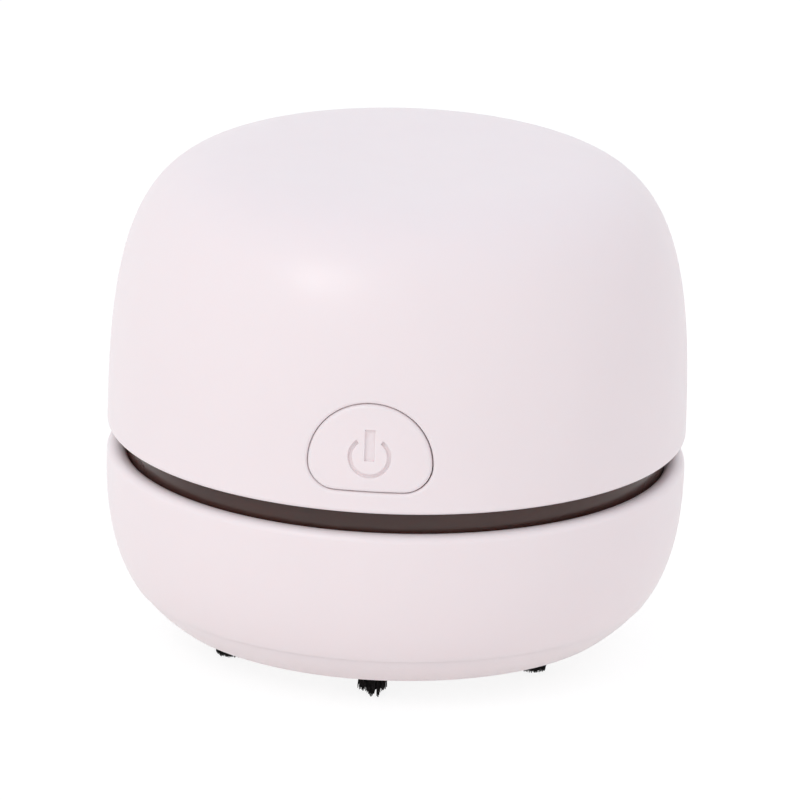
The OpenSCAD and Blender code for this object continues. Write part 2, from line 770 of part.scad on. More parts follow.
module motor_can() {
    neck = 1.2;                                   // edge turned over at both ends
    color(steel) difference() {
        rotate_extrude() polygon(concat(
            [[0, deck_z + 0.1], [nose_r, deck_z + 0.1], [nose_r, deck_top]],
            arc(motor_r - neck, deck_top + neck, neck, -90, 0, 4),
            [[motor_r, deck_top + motor_h], [0, deck_top + motor_h]]));
        translate([0, 0, deck_z - 1]) cylinder(r = shaft_r + 0.3, h = motor_h + 2);
        translate([0, 0, deck_z - 1]) cylinder(r = bushing_r, h = bushing_h + 1);
        for (x = motor_screw_x) translate([x, 0, deck_top - 1])
            cylinder(r = screw_r + pilot_gap, h = 3.5);
    }
}

bushing_r = 2.2;
bushing_h = 2.6;

module motor_bushing() {
    color(brass) ring(bushing_r, shaft_r + shaft_gap, deck_z + 0.1, bushing_h - 0.1);
}

cap_z = deck_top + motor_h;
cap_h = 2.3;
terminal_x = motor_r - 4.7;

module motor_end_cap() {
    color(dark_grey) difference() {
        union() {
            translate([0, 0, cap_z]) cylinder(r = motor_r - 1, h = cap_h - 0.9);
            translate([0, 0, cap_z]) cylinder(r = 4, h = cap_h);
        }
        // Slots for the terminals
        for (s = [-1, 1]) translate([s * terminal_x - 1.6, -0.4, cap_z - 1])
            cube([3.2, 0.8, cap_h + 1]);
    }
}

module motor_terminals() {
    color(brass) for (s = [-1, 1])
        translate([s * terminal_x - 1.5, -0.3, cap_z]) cube([3, 0.6, cap_h + 1]);
}

module motor_screws() {
    color(steel) for (x = motor_screw_x) translate([x, 0, deck_z + 0.1]) screw(4);
}

module motor_shaft() {
    low = impeller_z + 1.6;
    color(steel) translate([0, 0, low]) cylinder(r = shaft_r, h = cap_z - low - 1.5);
}

// Angle of a blade's middle line at a radius: a log spiral, swept back
function blade_angle(r) = -78 * ln(r / blade_in_r);

blade_in_r = 10;

// One blade from above, its two faces half a thickness either side of the spiral
module blade_outline() {
    steps = 7;
    radii = [for (i = [0:steps]) lerp(blade_in_r, impeller_r - 0.5, i / steps)];
    function edge(s) = [for (r = radii)
        let (a = blade_angle(r) + s * blade_t / 2 / r * 180 / PI * 1.7) [r * cos(a), r * sin(a)]];
    front = edge(1);
    back = edge(-1);
    polygon(concat(front, [for (i = [steps:-1:0]) back[i]]));
}

module impeller() {
    disc_z = impeller_z + blade_h;
    hub_r = 4;
    color(inner_grey) {
        difference() {
            union() {
                translate([0, 0, disc_z]) cylinder(r = impeller_r, h = disc_t);
                translate([0, 0, impeller_z + 2]) cylinder(r = hub_r, h = blade_h - 2 + disc_t);
                translate([0, 0, impeller_z + 0.8]) cylinder(r1 = hub_r - 1.6, r2 = hub_r, h = 1.2 + eps);
            }
            translate([0, 0, impeller_z + 1.6]) cylinder(r = shaft_r, h = blade_h + 5);
        }
        for (i = [0:blade_count - 1]) rotate(360 * i / blade_count)
            translate([0, 0, impeller_z]) linear_extrude(height = blade_h + disc_t / 2) blade_outline();
    }
}

// ---------- cell, boards and leads ----------

module battery_cell() {
    cap_r = 2.6;
    edge = 0.7;
    color("steelblue") translate([-cell_len / 2, cell_y, cell_z]) rotate([0, 90, 0])
        rotate_extrude() polygon(concat(
            [[0, 0]],
            arc(cell_r - edge, edge, edge, -90, 0, 3),
            arc(cell_r - edge, cell_len - 1 - edge, edge, 0, 90, 3),
            [[cap_r, cell_len - 1], [cap_r, cell_len], [0, cell_len]]));
}

tab_t = 0.3;

// Nickel tabs welded to the cell's two ends
module battery_contacts() {
    color(steel) for (s = [-1, 1])
        translate([s > 0 ? cell_len / 2 : -cell_len / 2 - tab_t, cell_y - 2, cell_z - 2.5])
            cube([tab_t, 4, 5]);
}

module charge_board() {
    width = 18;
    chip_y = board_front_y + 12;
    color(board_green) difference() {
        translate([-width / 2, board_front_y, board_z])
            cube([width, board_back_y - board_front_y, board_t]);
        for (x = board_screw_x) translate([x, board_screw_y, board_z - 1])
            cylinder(r = screw_r + 0.1, h = board_t + 2);
    }
    // Charging chip and coil
    color(dark_grey) {
        translate([-7.5, chip_y, board_z + board_t - eps]) cube([4, 3.5, 1.3]);
        translate([2.5, chip_y - 0.5, board_z + board_t - eps]) cube([4, 4, 2]);
    }
}

// Metal charging receptacle with its tongue
module charge_port() {
    back_y = port_face_y - port_len;
    wall = 0.3;
    color(steel) difference() {
        port_prism(port_w, port_h, back_y, port_face_y);
        port_prism(port_w - 2 * wall, port_h - 2 * wall, back_y + 1, port_face_y + 1);
    }
    color(dark_grey) translate([-3.4, back_y + 1 - eps, port_z - 0.35]) cube([6.8, 5, 0.7]);
}

// Light pipe beside the port
module charge_lamp() {
    y1 = sqrt(pow(dome_r_at(port_z), 2) - pow(lamp_x + lamp_r, 2)) - lamp_sink;
    y0 = board_back_y - 1.8;
    color("whitesmoke") translate([lamp_x, y0, port_z]) rotate([-90, 0, 0])
        cylinder(r = lamp_r, h = y1 - y0);
    color("whitesmoke") translate([lamp_x - 0.8, y0, board_z + board_t])
        cube([1.6, 1.6, port_h / 2]);
}

module board_screws() {
    color(steel) for (x = board_screw_x) translate([x, board_screw_y, board_z + board_t]) {
        cylinder(r = 1.8, h = 1.1);
        translate([0, 0, -3]) cylinder(r = screw_r, h = 3 + eps);
    }
}

module switch_board() {
    height = 10.5;
    color(board_green) translate([-switch_board_w / 2, switch_board_y, fan_z + 0.5])
        cube([switch_board_w, board_t, height]);
}

module switch_body() {
    color(dark_grey) difference() {
        translate([-switch_w / 2, switch_front_y, switch_z - switch_w / 2])
            cube([switch_w, switch_depth, switch_w]);
        translate([0, switch_front_y - 1, switch_z]) rotate([-90, 0, 0])
            cylinder(r = plunger_r + 0.05,
                     h = 1 + plunger_len - plunger_out + button_travel + seat_gap);
    }
}

module switch_plunger() {
    color("tan") translate([0, post_tip_y, switch_z]) rotate([-90, 0, 0])
        cylinder(r = plunger_r, h = plunger_len);
}

// Routes of the leads on the +X side: from the cell's tab, the motor's terminal and the
// switch board to the charging board. The other lead of each pair is the mirror image.
board_top = board_z + board_t;
wire_z = board_top + wire_r + eps;        // middle of a lead that lies on the board
tab_x = cell_len / 2 + tab_t + wire_r + eps;
saddle_y = cell_y - cell_r - 0.5;         // front of the cell's saddles

// A point over the deck, an inset in from its edge
function on_deck(inset, angle, h) =
    let (r = chamber_out_r - inset) [r * cos(angle), r * sin(angle), deck_top + h];

battery_route = [
    [tab_x, cell_y + 0.5, cell_z - 1], [tab_x, cell_y + 1.5, cell_z - 4.5],
    [tab_x - 1.6, cell_y + 6.4, deck_top + 4], [18.5, cell_y + 9.9, wire_z + 0.5],
    [13, cell_y + 10.4, wire_z], [8.2, cell_y + 8.6, wire_z]];

motor_route = [
    [terminal_x + 1.7, 0, cap_z + cap_h + 0.4], [motor_r - 0.2, 1.5, cap_z + 2.2],
    [motor_r + 2.3, saddle_y - 7.6, cap_z - 1], [motor_r + 2.8, saddle_y - 4.6, cap_z - 6],
    [13.4, saddle_y - 2.6, deck_top + 5], [11.2, saddle_y + 0.9, deck_top + 3],
    [8.2, saddle_y + 4.4, wire_z + 0.2], [7.6, saddle_y + 6.9, wire_z]];

switch_route = [
    [6, switch_board_y + board_t + 0.5, deck_top + 0.2],
    [6.6, switch_board_y + board_t + 0.9, deck_top + 1],
    [11, switch_board_y + 5.4, deck_top + 1.2],
    on_deck(0.4, -52.5, 1.1), on_deck(1.2, -33.7, 1), on_deck(3.3, -13, 0.8),
    on_deck(3.7, 6, 0.8), [22, saddle_y - 2.8, deck_top + 0.8],
    [17, saddle_y - 2.3, deck_top + 0.8], [12.4, saddle_y - 0.5, deck_top + 0.9],
    [8, saddle_y + 1.9, deck_top + 2], [5.4, saddle_y + 3.9, wire_z],
    [5, saddle_y + 6.4, wire_z]];

// A pair of leads along a route and its mirror image
module lead_pair(route) {
    path = smooth(route, 3);
    color("firebrick") sweep(path, wire_r);
    color("black") sweep([for (p = path) [-p[0], p[1], p[2]]], wire_r);
}

module battery_leads() {
    lead_pair(battery_route);
}

module motor_leads() {
    lead_pair(motor_route);
}

module switch_leads() {
    lead_pair(switch_route);
}

// ---------- power button ----------

// The on-off sign: an open ring and a bar
module power_sign() {
    sign_y = 5.2;
    ring_r = 2.85;
    line = 0.65;
    bar_w = 1.5;
    gap_angle = 38;
    polygon(concat(
        arc(0, sign_y, ring_r + line / 2, 90 + gap_angle, 450 - gap_angle, 24),
        arc(0, sign_y, ring_r - line / 2, 450 - gap_angle, 90 + gap_angle, 24)));
    translate([-bar_w / 2, sign_y - 0.6]) square([bar_w, 4.7]);
}

module power_button() {
    back_flange = 0.9;                            // how far the back flange laps the shell
    color(shell_pink) {
        difference() {
            intersection() {
                dome_solid(rim_z);
                front_prism(body_r / 2) button_outline(0);
            }
            translate([0, 0, rim_z - 1]) cylinder(r = flange_in_r, h = dome_h);
            difference() {
                front_prism(body_r / 2) power_sign();
                dome_solid(rim_z - 2, engrave);
            }
        }
        // Flange behind the shell, at the sides and top
        intersection() {
            front_prism(body_r / 2) button_outline(back_flange);
            ring(flange_out_r, flange_in_r, button_z + 1.4, button_h);
        }
        // Post that meets the switch
        translate([0, post_tip_y, switch_z]) rotate([90, 0, 0])
            cylinder(r = 1.6, h = 1.2);
    }
}

// ---------- nodes ----------

base_plate();
base_screws();
brush_tuft(1);  // brush_tuft_1
brush_tuft(2);  // brush_tuft_2
brush_tuft(3);  // brush_tuft_3
brush_tuft(4);  // brush_tuft_4
brush_tuft(5);  // brush_tuft_5
brush_tuft(6);  // brush_tuft_6
inlet_tube();
dust_bowl();
dust_collar();
filter_basket();
filter_frame();
filter_pleats();
filter_gasket();
top_shell();
fan_housing();
head_gasket();
fan_cover();
fan_cover_screws();
head_screws();
motor_can();
motor_end_cap();
motor_terminals();
motor_bushing();
motor_screws();
battery_cell();
battery_contacts();
charge_board();
charge_port();
charge_lamp();
board_screws();
switch_board();
switch_body();
battery_leads();
motor_leads();
switch_leads();
impeller();
motor_shaft();
power_button();
switch_plunger();
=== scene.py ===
"""Looks of a desktop mini vacuum cleaner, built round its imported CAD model.

Finer meshes take the place of the shells, base plate, power button, dust collar, filter
paper, seals and brush tufts. Every other node keeps its shape and gets its material.
Sizes are millimetres. The desk is z = 0, both halves stand round the Z axis, and the
button looks along -Y.
"""
import json
from math import asin, cos, degrees, dist, hypot, pi, radians, sin, sqrt, tau

import bmesh
import bpy
import numpy as np
from mathutils import Matrix, Vector
from mathutils.geometry import delaunay_2d_cdt


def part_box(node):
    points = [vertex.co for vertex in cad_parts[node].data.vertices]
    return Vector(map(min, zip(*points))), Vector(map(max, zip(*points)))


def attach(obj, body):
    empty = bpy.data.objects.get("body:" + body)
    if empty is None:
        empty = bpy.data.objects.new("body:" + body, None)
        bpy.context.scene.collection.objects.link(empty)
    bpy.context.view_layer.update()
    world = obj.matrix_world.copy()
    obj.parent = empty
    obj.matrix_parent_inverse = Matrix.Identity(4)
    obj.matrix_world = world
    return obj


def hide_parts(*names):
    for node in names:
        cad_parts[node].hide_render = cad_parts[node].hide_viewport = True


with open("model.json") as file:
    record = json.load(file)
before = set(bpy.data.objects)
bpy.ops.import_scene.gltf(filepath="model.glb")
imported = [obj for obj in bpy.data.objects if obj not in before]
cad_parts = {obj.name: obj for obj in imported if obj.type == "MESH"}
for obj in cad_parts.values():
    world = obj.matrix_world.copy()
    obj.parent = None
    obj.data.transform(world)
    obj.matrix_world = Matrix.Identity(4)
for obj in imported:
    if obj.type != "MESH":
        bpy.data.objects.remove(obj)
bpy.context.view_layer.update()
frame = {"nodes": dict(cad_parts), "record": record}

MM = 0.001
UNKNOWN = (0, 0, 0)             # normal left to Blender


def box_mm(node):
    """Lowest and highest corner of a CAD node in millimetres, without float noise."""
    return [Vector(round(c / MM, 2) for c in corner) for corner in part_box(node)]


def unit(x, z):
    size = hypot(x, z)
    return x / size, z / size


def angles_to(start, end, steps):
    """Even angles from start to end in degrees, both included, as radians."""
    return [radians(start + (end - start) * i / steps) for i in range(steps + 1)]


def full_turn(steps):
    return [tau * i / steps for i in range(steps)]


def placed(name, data):
    thing = bpy.data.objects.new(name, data)
    bpy.context.scene.collection.objects.link(thing)
    return thing


# ---------- sizes, from the CAD model's nodes ----------

dome_low, dome_high = box_mm("top_shell")
bowl_low, bowl_high = box_mm("dust_bowl")
base_low, base_high = box_mm("base_plate")
button_low, button_high = box_mm("power_button")
collar_low, collar_high = box_mm("dust_collar")
inlet_high = box_mm("inlet_tube")[1]
port_low, port_high = box_mm("charge_port")
lamp_low, lamp_high = box_mm("charge_lamp")
tuft_low, tuft_high = box_mm("brush_tuft_1")

BODY_R = dome_high.x
RIM_Z = dome_low.z              # rim of the dome
TOP_Z = dome_high.z
LIP_Z = bowl_high.z             # crest of the bowl's lip
FLOOR_Z = bowl_low.z            # underside of the bowl
BASE_Z = base_low.z             # underside of the base plate
SEAM_Z = base_high.z            # seam between base plate and bowl
SEAM_R = base_high.x

DOME_WALL = 2.0
BOWL_WALL = 2.3
BOWL_FLOOR = 2.0
COLUMNS = 240                   # steps round the shells


# ---------- meshes ----------

class Shape:
    """A mesh in the making: points, their normals where known, and faces."""

    def __init__(self):
        self.points, self.normals, self.faces = [], [], []

    def add(self, points, normals=None):
        """Adds points and returns their numbers."""
        first = len(self.points)
        self.points += [tuple(p) for p in points]
        self.normals += [tuple(n) for n in normals] if normals else [UNKNOWN] * len(points)
        return list(range(first, len(self.points)))

    def bridge(self, a, b):
        """Joins two closed rows of as many points with quads."""
        self.faces += zip(a, a[1:] + a[:1], b[1:] + b[:1], b)

    def chain(self, rows, capped=False):
        """Joins each row with the next, closes both ends if capped, and returns the rows."""
        for a, b in zip(rows, rows[1:]):
            self.bridge(a, b)
        if capped:
            self.faces += [tuple(rows[0]), tuple(rows[-1])]
        return rows

    def make(self, name, material, body, node, sharp=35):
        """Turns the shape into a piece that stands for a CAD node."""
        used = sorted({i for face in self.faces for i in face})
        number = {old: new for new, old in enumerate(used)}
        mesh = bpy.data.meshes.new(name)
        mesh.from_pydata([Vector(self.points[i]) * MM for i in used], [],
                         [[number[i] for i in face] for face in self.faces])
        bm = bmesh.new()
        bm.from_mesh(mesh)
        bmesh.ops.recalc_face_normals(bm, faces=bm.faces)
        bm.to_mesh(mesh)
        bm.free()
        mesh.shade_smooth()
        mesh.set_sharp_from_angle(angle=radians(sharp))
        mesh.normals_split_custom_set_from_vertices([self.normals[i] for i in used])
        mesh.materials.append(material)
        piece = placed(name, mesh)
        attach(piece, body)
        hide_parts(node)
        return piece


def inside(points, loops):
    """Whether each 2D point lies in the first closed loop and in none of those within it."""
    x, y = np.array(points).T[:, :, None]
    ax, ay = np.concatenate(loops).T[:, None]
    bx, by = np.concatenate([loop[1:] + loop[:1] for loop in loops]).T[:, None]
    spans = (ay > y) != (by > y)
    rise = np.where(by == ay, 1, by - ay)
    crossed = spans & (x < (bx - ax) * (y - ay) / rise + ax)
    return crossed.sum(1) % 2 == 1


def lattice(loops, spacing):
    """Points in staggered rows inside the first loop, clear of every loop."""
    low, high = np.min(loops[0], 0), np.max(loops[0], 0)
    row_h = spacing * 0.87
    spots = [(u, v) for k, v in enumerate(np.arange(low[1], high[1], row_h))
             for u in np.arange(low[0] + (k % 2) * spacing / 2, high[0], spacing)]
    if not spots:
        return []
    spots = np.array(spots)
    near = np.sqrt(((spots[:, None] - np.concatenate(loops)) ** 2).sum(2)).min(1)
    return spots[inside(spots, loops) & (near > spacing * 0.6)].tolist()


def fill(shape, rows, flats, spacing, place):
    """Triangulates between a closed row of points and the rows inside it.

    flats are the 2D places of the rows; place(u, v) gives the point and the normal of
    each new point between them.
    """
    spots = lattice(flats, spacing)
    known = [place(u, v) for u, v in spots]
    fresh = shape.add([p for p, _ in known], [n for _, n in known])
    numbers = [i for row in rows for i in row] + fresh
    flat = [Vector(p) for loop in flats for p in loop] + [Vector(p) for p in spots]
    edges, start = [], 0
    for loop in flats:
        count = len(loop)
        edges += [(start + i, start + (i + 1) % count) for i in range(count)]
        start += count
    found, _, faces, origin, _, _ = delaunay_2d_cdt(flat, edges, [], 0, 1e-7)
    middles = [sum((found[k] for k in f), Vector((0, 0))) / 3 for f in faces]
    for face, kept in zip(faces, inside(middles, flats)):
        if kept:
            shape.faces.append(tuple(numbers[origin[k][0]] for k in face))


def turned(shape, profile, columns=COLUMNS, windows=(), closed=False):
    """Turns a profile of (r, z, normal r, normal z) about the axis.

    Each window is (first row, last row, middle column, columns to each side) and stays
    open. Returns the rows of point numbers; a row on the axis has one.
    """
    rows = []
    turns = full_turn(columns)
    for r, z, nr, nz in profile:
        if r < 1e-6:
            rows.append(shape.add([(0, 0, z)], [(0, 0, nz)]))
            continue
        rows.append(shape.add(
            [(r * sin(a), -r * cos(a), z) for a in turns],
            [(nr * sin(a), -nr * cos(a), nz) for a in turns]))
    following = rows[1:] + rows[:1] if closed else rows[1:]
    for j, (a, b) in enumerate(zip(rows, following)):
        for i in range(columns):
            k = (i + 1) % columns
            if any(first <= j < last and (i - middle + half) % columns < 2 * half
                   for first, last, middle, half in windows):
                continue
            corners = dict.fromkeys((a[i % len(a)], a[k % len(a)], b[k % len(b)], b[i % len(b)]))
            if len(corners) > 2:
                shape.faces.append(tuple(corners))
    return rows


def arc(cx, cz, radius, start, end, steps):
    """Points (r, z, normal r, normal z) on an arc; angles in degrees."""
    return [(cx + radius * cos(t), cz + radius * sin(t), cos(t), sin(t))
            for t in angles_to(start, end, steps)]


class Superellipse:
    """Profile (r / reach) ** n + (rise / height) ** m = 1 of a shell, seen from outside."""

    def __init__(self, reach, height, n, m, base_z, up, inset=0.0):
        self.reach, self.height = reach - inset, height - inset
        self.n, self.m, self.base_z, self.up = n, m, base_z, up

    def rise(self, z):
        return max(0.0, (z - self.base_z) * self.up) / self.height

    def radius(self, z):
        return self.reach * max(0.0, 1 - self.rise(z) ** self.m) ** (1 / self.n)

    def normal(self, r, z):
        return unit(self.n / self.reach * (r / self.reach) ** (self.n - 1),
                    self.m / self.height * self.rise(z) ** (self.m - 1) * self.up)

    def height_at(self, r):
        rise = (1 - (r / self.reach) ** self.n) ** (1 / self.m)
        return self.base_z + self.up * self.height * rise

    def points(self, start_z, end_z, step):
        """Evenly spaced profile points between two heights, both included."""
        t = np.linspace(0, pi / 2, 4000)
        r = self.reach * np.cos(t) ** (2 / self.n)
        z = self.base_z + self.up * self.height * np.sin(t) ** (2 / self.m)
        r[-1] = 0.0
        order = 1 if self.up > 0 else -1
        first, last = sorted((start_z, end_z))
        inner = (z > first) & (z < last)
        rs = [self.radius(first), *r[inner][::order], self.radius(last)]
        zs = [first, *z[inner][::order], last]
        along = np.concatenate([[0], np.cumsum(np.hypot(np.diff(rs), np.diff(zs)))])
        count = max(2, round(along[-1] / step))
        even = np.linspace(0, along[-1], count + 1)
        rs, zs = np.interp(even, along, rs), np.interp(even, along, zs)
        found = [(float(a), float(b), *self.normal(a, b)) for a, b in zip(rs, zs)]
        return found if start_z < end_z else found[::-1]


DOME_DROP = 1.7                 # widest plane, below the dome's rim
DOME_SHAPE = dict(reach=BODY_R, height=TOP_Z - RIM_Z + DOME_DROP, n=6.3, m=3,
                  base_z=RIM_Z - DOME_DROP, up=1)
LIP_R = (BOWL_WALL + 0.1) / 2   # height of the round on the bowl's lip
LIP_W = 2.9                     # width of the lip, with the bead inside
BOWL_SHAPE = dict(reach=BODY_R, height=LIP_Z - FLOOR_Z + 2.95, n=6.65, m=2.33,
                  base_z=LIP_Z - LIP_R, up=-1)
dome = Superellipse(**DOME_SHAPE)
dome_inside = Superellipse(**DOME_SHAPE, inset=DOME_WALL)
bowl = Superellipse(**BOWL_SHAPE)
bowl_inside = Superellipse(**BOWL_SHAPE, inset=BOWL_WALL)


def inward(profile):
    """The profile with its normals turned round, as on the inside of a wall."""
    return [(r, z, -nr, -nz) for r, z, nr, nz in profile]


def corner(r, z):
    """A profile point on a hard edge, whose normal is left to Blender."""
    return (r, z, 0, 0)


def small_arc(*values):
    """An arc too small to need normals of its own."""
    return [corner(r, z) for r, z, _, _ in arc(*values)]


# ---------- outlines on the front and the back, as (x, z) with the way out ----------

STRETCH_STEP = 0.7
MEETING = 0.2                   # arcs that end closer than this meet


def stretch(a, b, count=0):
    """Points between a and b, and the way out, which is to the right."""
    length = dist(a, b)
    count = count or max(1, round(length / STRETCH_STEP))
    out = ((b[1] - a[1]) / length, (a[0] - b[0]) / length)
    return [((a[0] + (b[0] - a[0]) * i / count, a[1] + (b[1] - a[1]) * i / count), out)
            for i in range(1, count)]


def bend(cx, cz, radius, start, end, steps):
    """Points on an arc, and the way out; angles in degrees."""
    return [((x, z), way) for x, z, *way in arc(cx, cz, radius, start, end, steps)]


def joined(*arcs):
    """A closed outline of arcs, with a straight stretch between two that don't meet."""
    outline = []
    for piece, following in zip(arcs, arcs[1:] + arcs[:1]):
        end, start = piece[-1][0], following[0][0]
        if dist(end, start) > MEETING:
            outline += piece + stretch(end, start)
        else:
            outline += piece[:-1]
    return outline


FLANGE_LAP = 0.9                # how far the button's back flange laps the shell
BUTTON_W = button_high.x - button_low.x - 2 * FLANGE_LAP
BUTTON_Z = button_low.z         # lower edge of the button
BUTTON_H = button_high.z - BUTTON_Z - FLANGE_LAP
BUTTON_CORNER = 4.0
HOLE_GROWN = 0.15               # hole in the dome, outside the button's outline
HOLE_SHIFT = 0.04               # to the right, so that the gap is uneven
BUTTON_GROWN = 0.06             # the button itself, outside its outline


def button_outline(grown=0.0):
    """D-shaped outline: a half circle over two rounded corners."""
    r, c = BUTTON_W / 2, BUTTON_CORNER
    return joined(
        bend(0, BUTTON_Z + BUTTON_H - r, r + grown, 0, 180, 44),
        bend(c - r, BUTTON_Z + c, c + grown, 180, 270, 12),
        bend(r - c, BUTTON_Z + c, c + grown, 270, 360, 12))


def hole_outline(grown=0.0):
    """The button's hole in the dome."""
    return [((x + HOLE_SHIFT, z), out) for (x, z), out in button_outline(grown)]


PORT_Z = (port_low.z + port_high.z) / 2
PORT_GAP = 0.3


def port_outline(grown=0.0):
    half_w = (port_high.x - port_low.x) / 2 + PORT_GAP
    r = (port_high.z - port_low.z) / 2 + PORT_GAP
    return joined(bend(half_w - r, PORT_Z, r + grown, -90, 90, 16),
                  bend(r - half_w, PORT_Z, r + grown, 90, 270, 16))


LAMP_X = (lamp_low.x + lamp_high.x) / 2
LAMP_GAP = 0.1


def lamp_outline(grown=0.0):
    r = (lamp_high.x - lamp_low.x) / 2 + LAMP_GAP
    return bend(LAMP_X, PORT_Z, r + grown, 0, 345, 23)


# The on-off sign on the button: an open ring and a bar
SIGN_Z = BUTTON_Z + 5.2         # middle of the ring
SIGN_R = 2.87
SIGN_LINE = 0.6                 # width of the ring's line
SIGN_OPEN = 38                  # half angle of the ring's opening
BAR_W = 1.5
BAR_LOW = SIGN_Z - 0.6
BAR_HIGH = SIGN_Z + 4.1


def ring_outline(grown=0.0):
    half = SIGN_LINE / 2 + grown
    spread = degrees(grown / SIGN_R)
    start, end = 90 + SIGN_OPEN - spread, 450 - SIGN_OPEN + spread
    outer = bend(0, SIGN_Z, SIGN_R + half, start, end, 60)
    inner = [(p, (-out[0], -out[1])) for p, out in bend(0, SIGN_Z, SIGN_R - half, end, start, 60)]
    return outer + inner


def bar_outline(grown=0.0):
    half = BAR_W / 2 + grown
    low, high = BAR_LOW - grown, BAR_HIGH + grown
    corners = [(half, low), (half, high), (-half, high), (-half, low)]
    ways = [(0.7, -0.7), (0.7, 0.7), (-0.7, 0.7), (-0.7, -0.7)]
    counts = [12, 3, 12, 3]
    outline = []
    for a, b, way, count in zip(corners, corners[1:] + corners[:1], ways, counts):
        outline += [(a, way), *stretch(a, b, count)]
    return outline


# ---------- surfaces seen from the front or the back ----------

def on_shell(profile, side, x, z, depth=0.0):
    """Point and outward normal of a shell at (x, z), moved in along Y by a depth."""
    r = profile.radius(z)
    y = sqrt(max(0.0, r * r - x * x))
    nr, nz = profile.normal(r, z)
    return (x, side * (y - depth), z), (nr * x / r, side * nr * y / r, nz)


def leaned(normal, out, tilt):
    """A surface normal leaned towards the middle of an outline, by degrees."""
    t = radians(tilt)
    mixed = Vector(normal) * cos(t) - Vector((out[0], 0, out[1])) * sin(t)
    return tuple(mixed.normalized())


def edge_rows(shape, profile, side, outline, steps, lean=1):
    """Rows of points round an outline, one for each (grown, depth, tilt) of steps."""
    rows = []
    for grown, depth, tilt in steps:
        spots = [(*on_shell(profile, side, *p, depth), out) for p, out in outline(grown)]
        rows.append(shape.add([p for p, _, _ in spots],
                              [leaned(n, out, lean * tilt) for _, n, out in spots]))
    return shape.chain(rows)


def rounded_edge(start, radius, way, steps=5):
    """Steps (grown, depth, tilt) of a round between a surface and a wall along Y."""
    return [(start + way * radius * (1 - sin(t)), radius * (1 - cos(t)), degrees(t))
            for t in angles_to(0, 90, steps)]


class Window:
    """A patch of a turned shell, on the front (side -1) or the back (side 1), with holes."""

    def __init__(self, side, low_z, high_z, holes):
        self.side, self.low_z, self.high_z, self.holes = side, low_z, high_z, holes
        self.middle = 0 if side < 0 else COLUMNS // 2

    def span(self, profile, first, last):
        """The open part of a profile's rows first to last, as turned() takes it."""
        rows = range(first, last)
        ends = [min(rows, key=lambda k: abs(profile[k][1] - z)) for z in (self.low_z, self.high_z)]
        return min(ends), max(ends), self.middle, PATCH_HALF

    def border(self, rows, profile, span):
        """Numbers and flat places of the patch's border, in order."""
        first, last = span[:2]
        turn = -self.side * tau / COLUMNS * BODY_R
        columns = range(-PATCH_HALF, PATCH_HALF + 1)
        places = [(first, i) for i in columns]
        places += [(j, PATCH_HALF) for j in range(first + 1, last)]
        places += [(last, i) for i in reversed(columns)]
        places += [(j, -PATCH_HALF) for j in range(last - 1, first, -1)]
        return ([rows[j][(self.middle + i) % COLUMNS] for j, i in places],
                [(i * turn, profile[j][1]) for j, i in places])

    def close(self, shape, surface, facing, rows, profile, span, hole_rows, grown, step):
        """Fills the patch between its border and the outer row of each hole."""
        numbers, flats = self.border(rows, profile, span)
        loops = [[(asin(x / surface.radius(z)) * BODY_R, z) for (x, z), _ in outline(grown)]
                 for outline in self.holes]

        def place(u, v):
            x = surface.radius(v) * sin(u / BODY_R)
            point, normal = on_shell(surface, self.side, x, v)
            return point, [facing * n for n in normal]
        fill(shape, [numbers, *hole_rows], [flats, *loops], step * PATCH_STEP, place)


# ---------- the dome ----------

RIM_ROUND = 0.7
RIM_INNER_ROUND = 0.35
HOLE_ROUND = 0.55
SMALL_HOLE_ROUND = 0.2
POST_R = 2.6                    # screw posts inside the dome
POST_BORE = 1.0
POST_BORE_H = 9.8
POST_RING = 32.8
POST_ANGLES = (30, 150, 210, 330)
HOUSING_FLANGE = 2.2            # thickness of the flange that the posts stand on
POST_LOW = box_mm("fan_cover")[1].z + HOUSING_FLANGE
POST_IN_WALL = 0.8
SKIN_STEP = 1.0                 # steps along the outside of a shell
BACK_STEP = 1.8                 # and along its inside
PATCH_STEP = 1.1                # spacing in a patch, in steps of the shell
PATCH_HALF = 11                 # columns to each side of a patch's middle


def spots_on(ring, angles):
    """Places on a ring round the axis; angles in degrees."""
    return [(ring * cos(radians(a)), ring * sin(radians(a))) for a in angles]


def upright(shape, x, y, rings, steps=32, capped=True):
    """Joined rows round an upright axis at (x, y), from (radius, height) of each ring.

    A height may be a function of the distance from the object's axis.
    """
    rows = []
    for r, z in rings:
        spots = [(x + r * cos(a), y + r * sin(a)) for a in full_turn(steps)]
        rows.append(shape.add([(*s, z(hypot(*s)) if callable(z) else z) for s in spots]))
    return shape.chain(rows, capped)


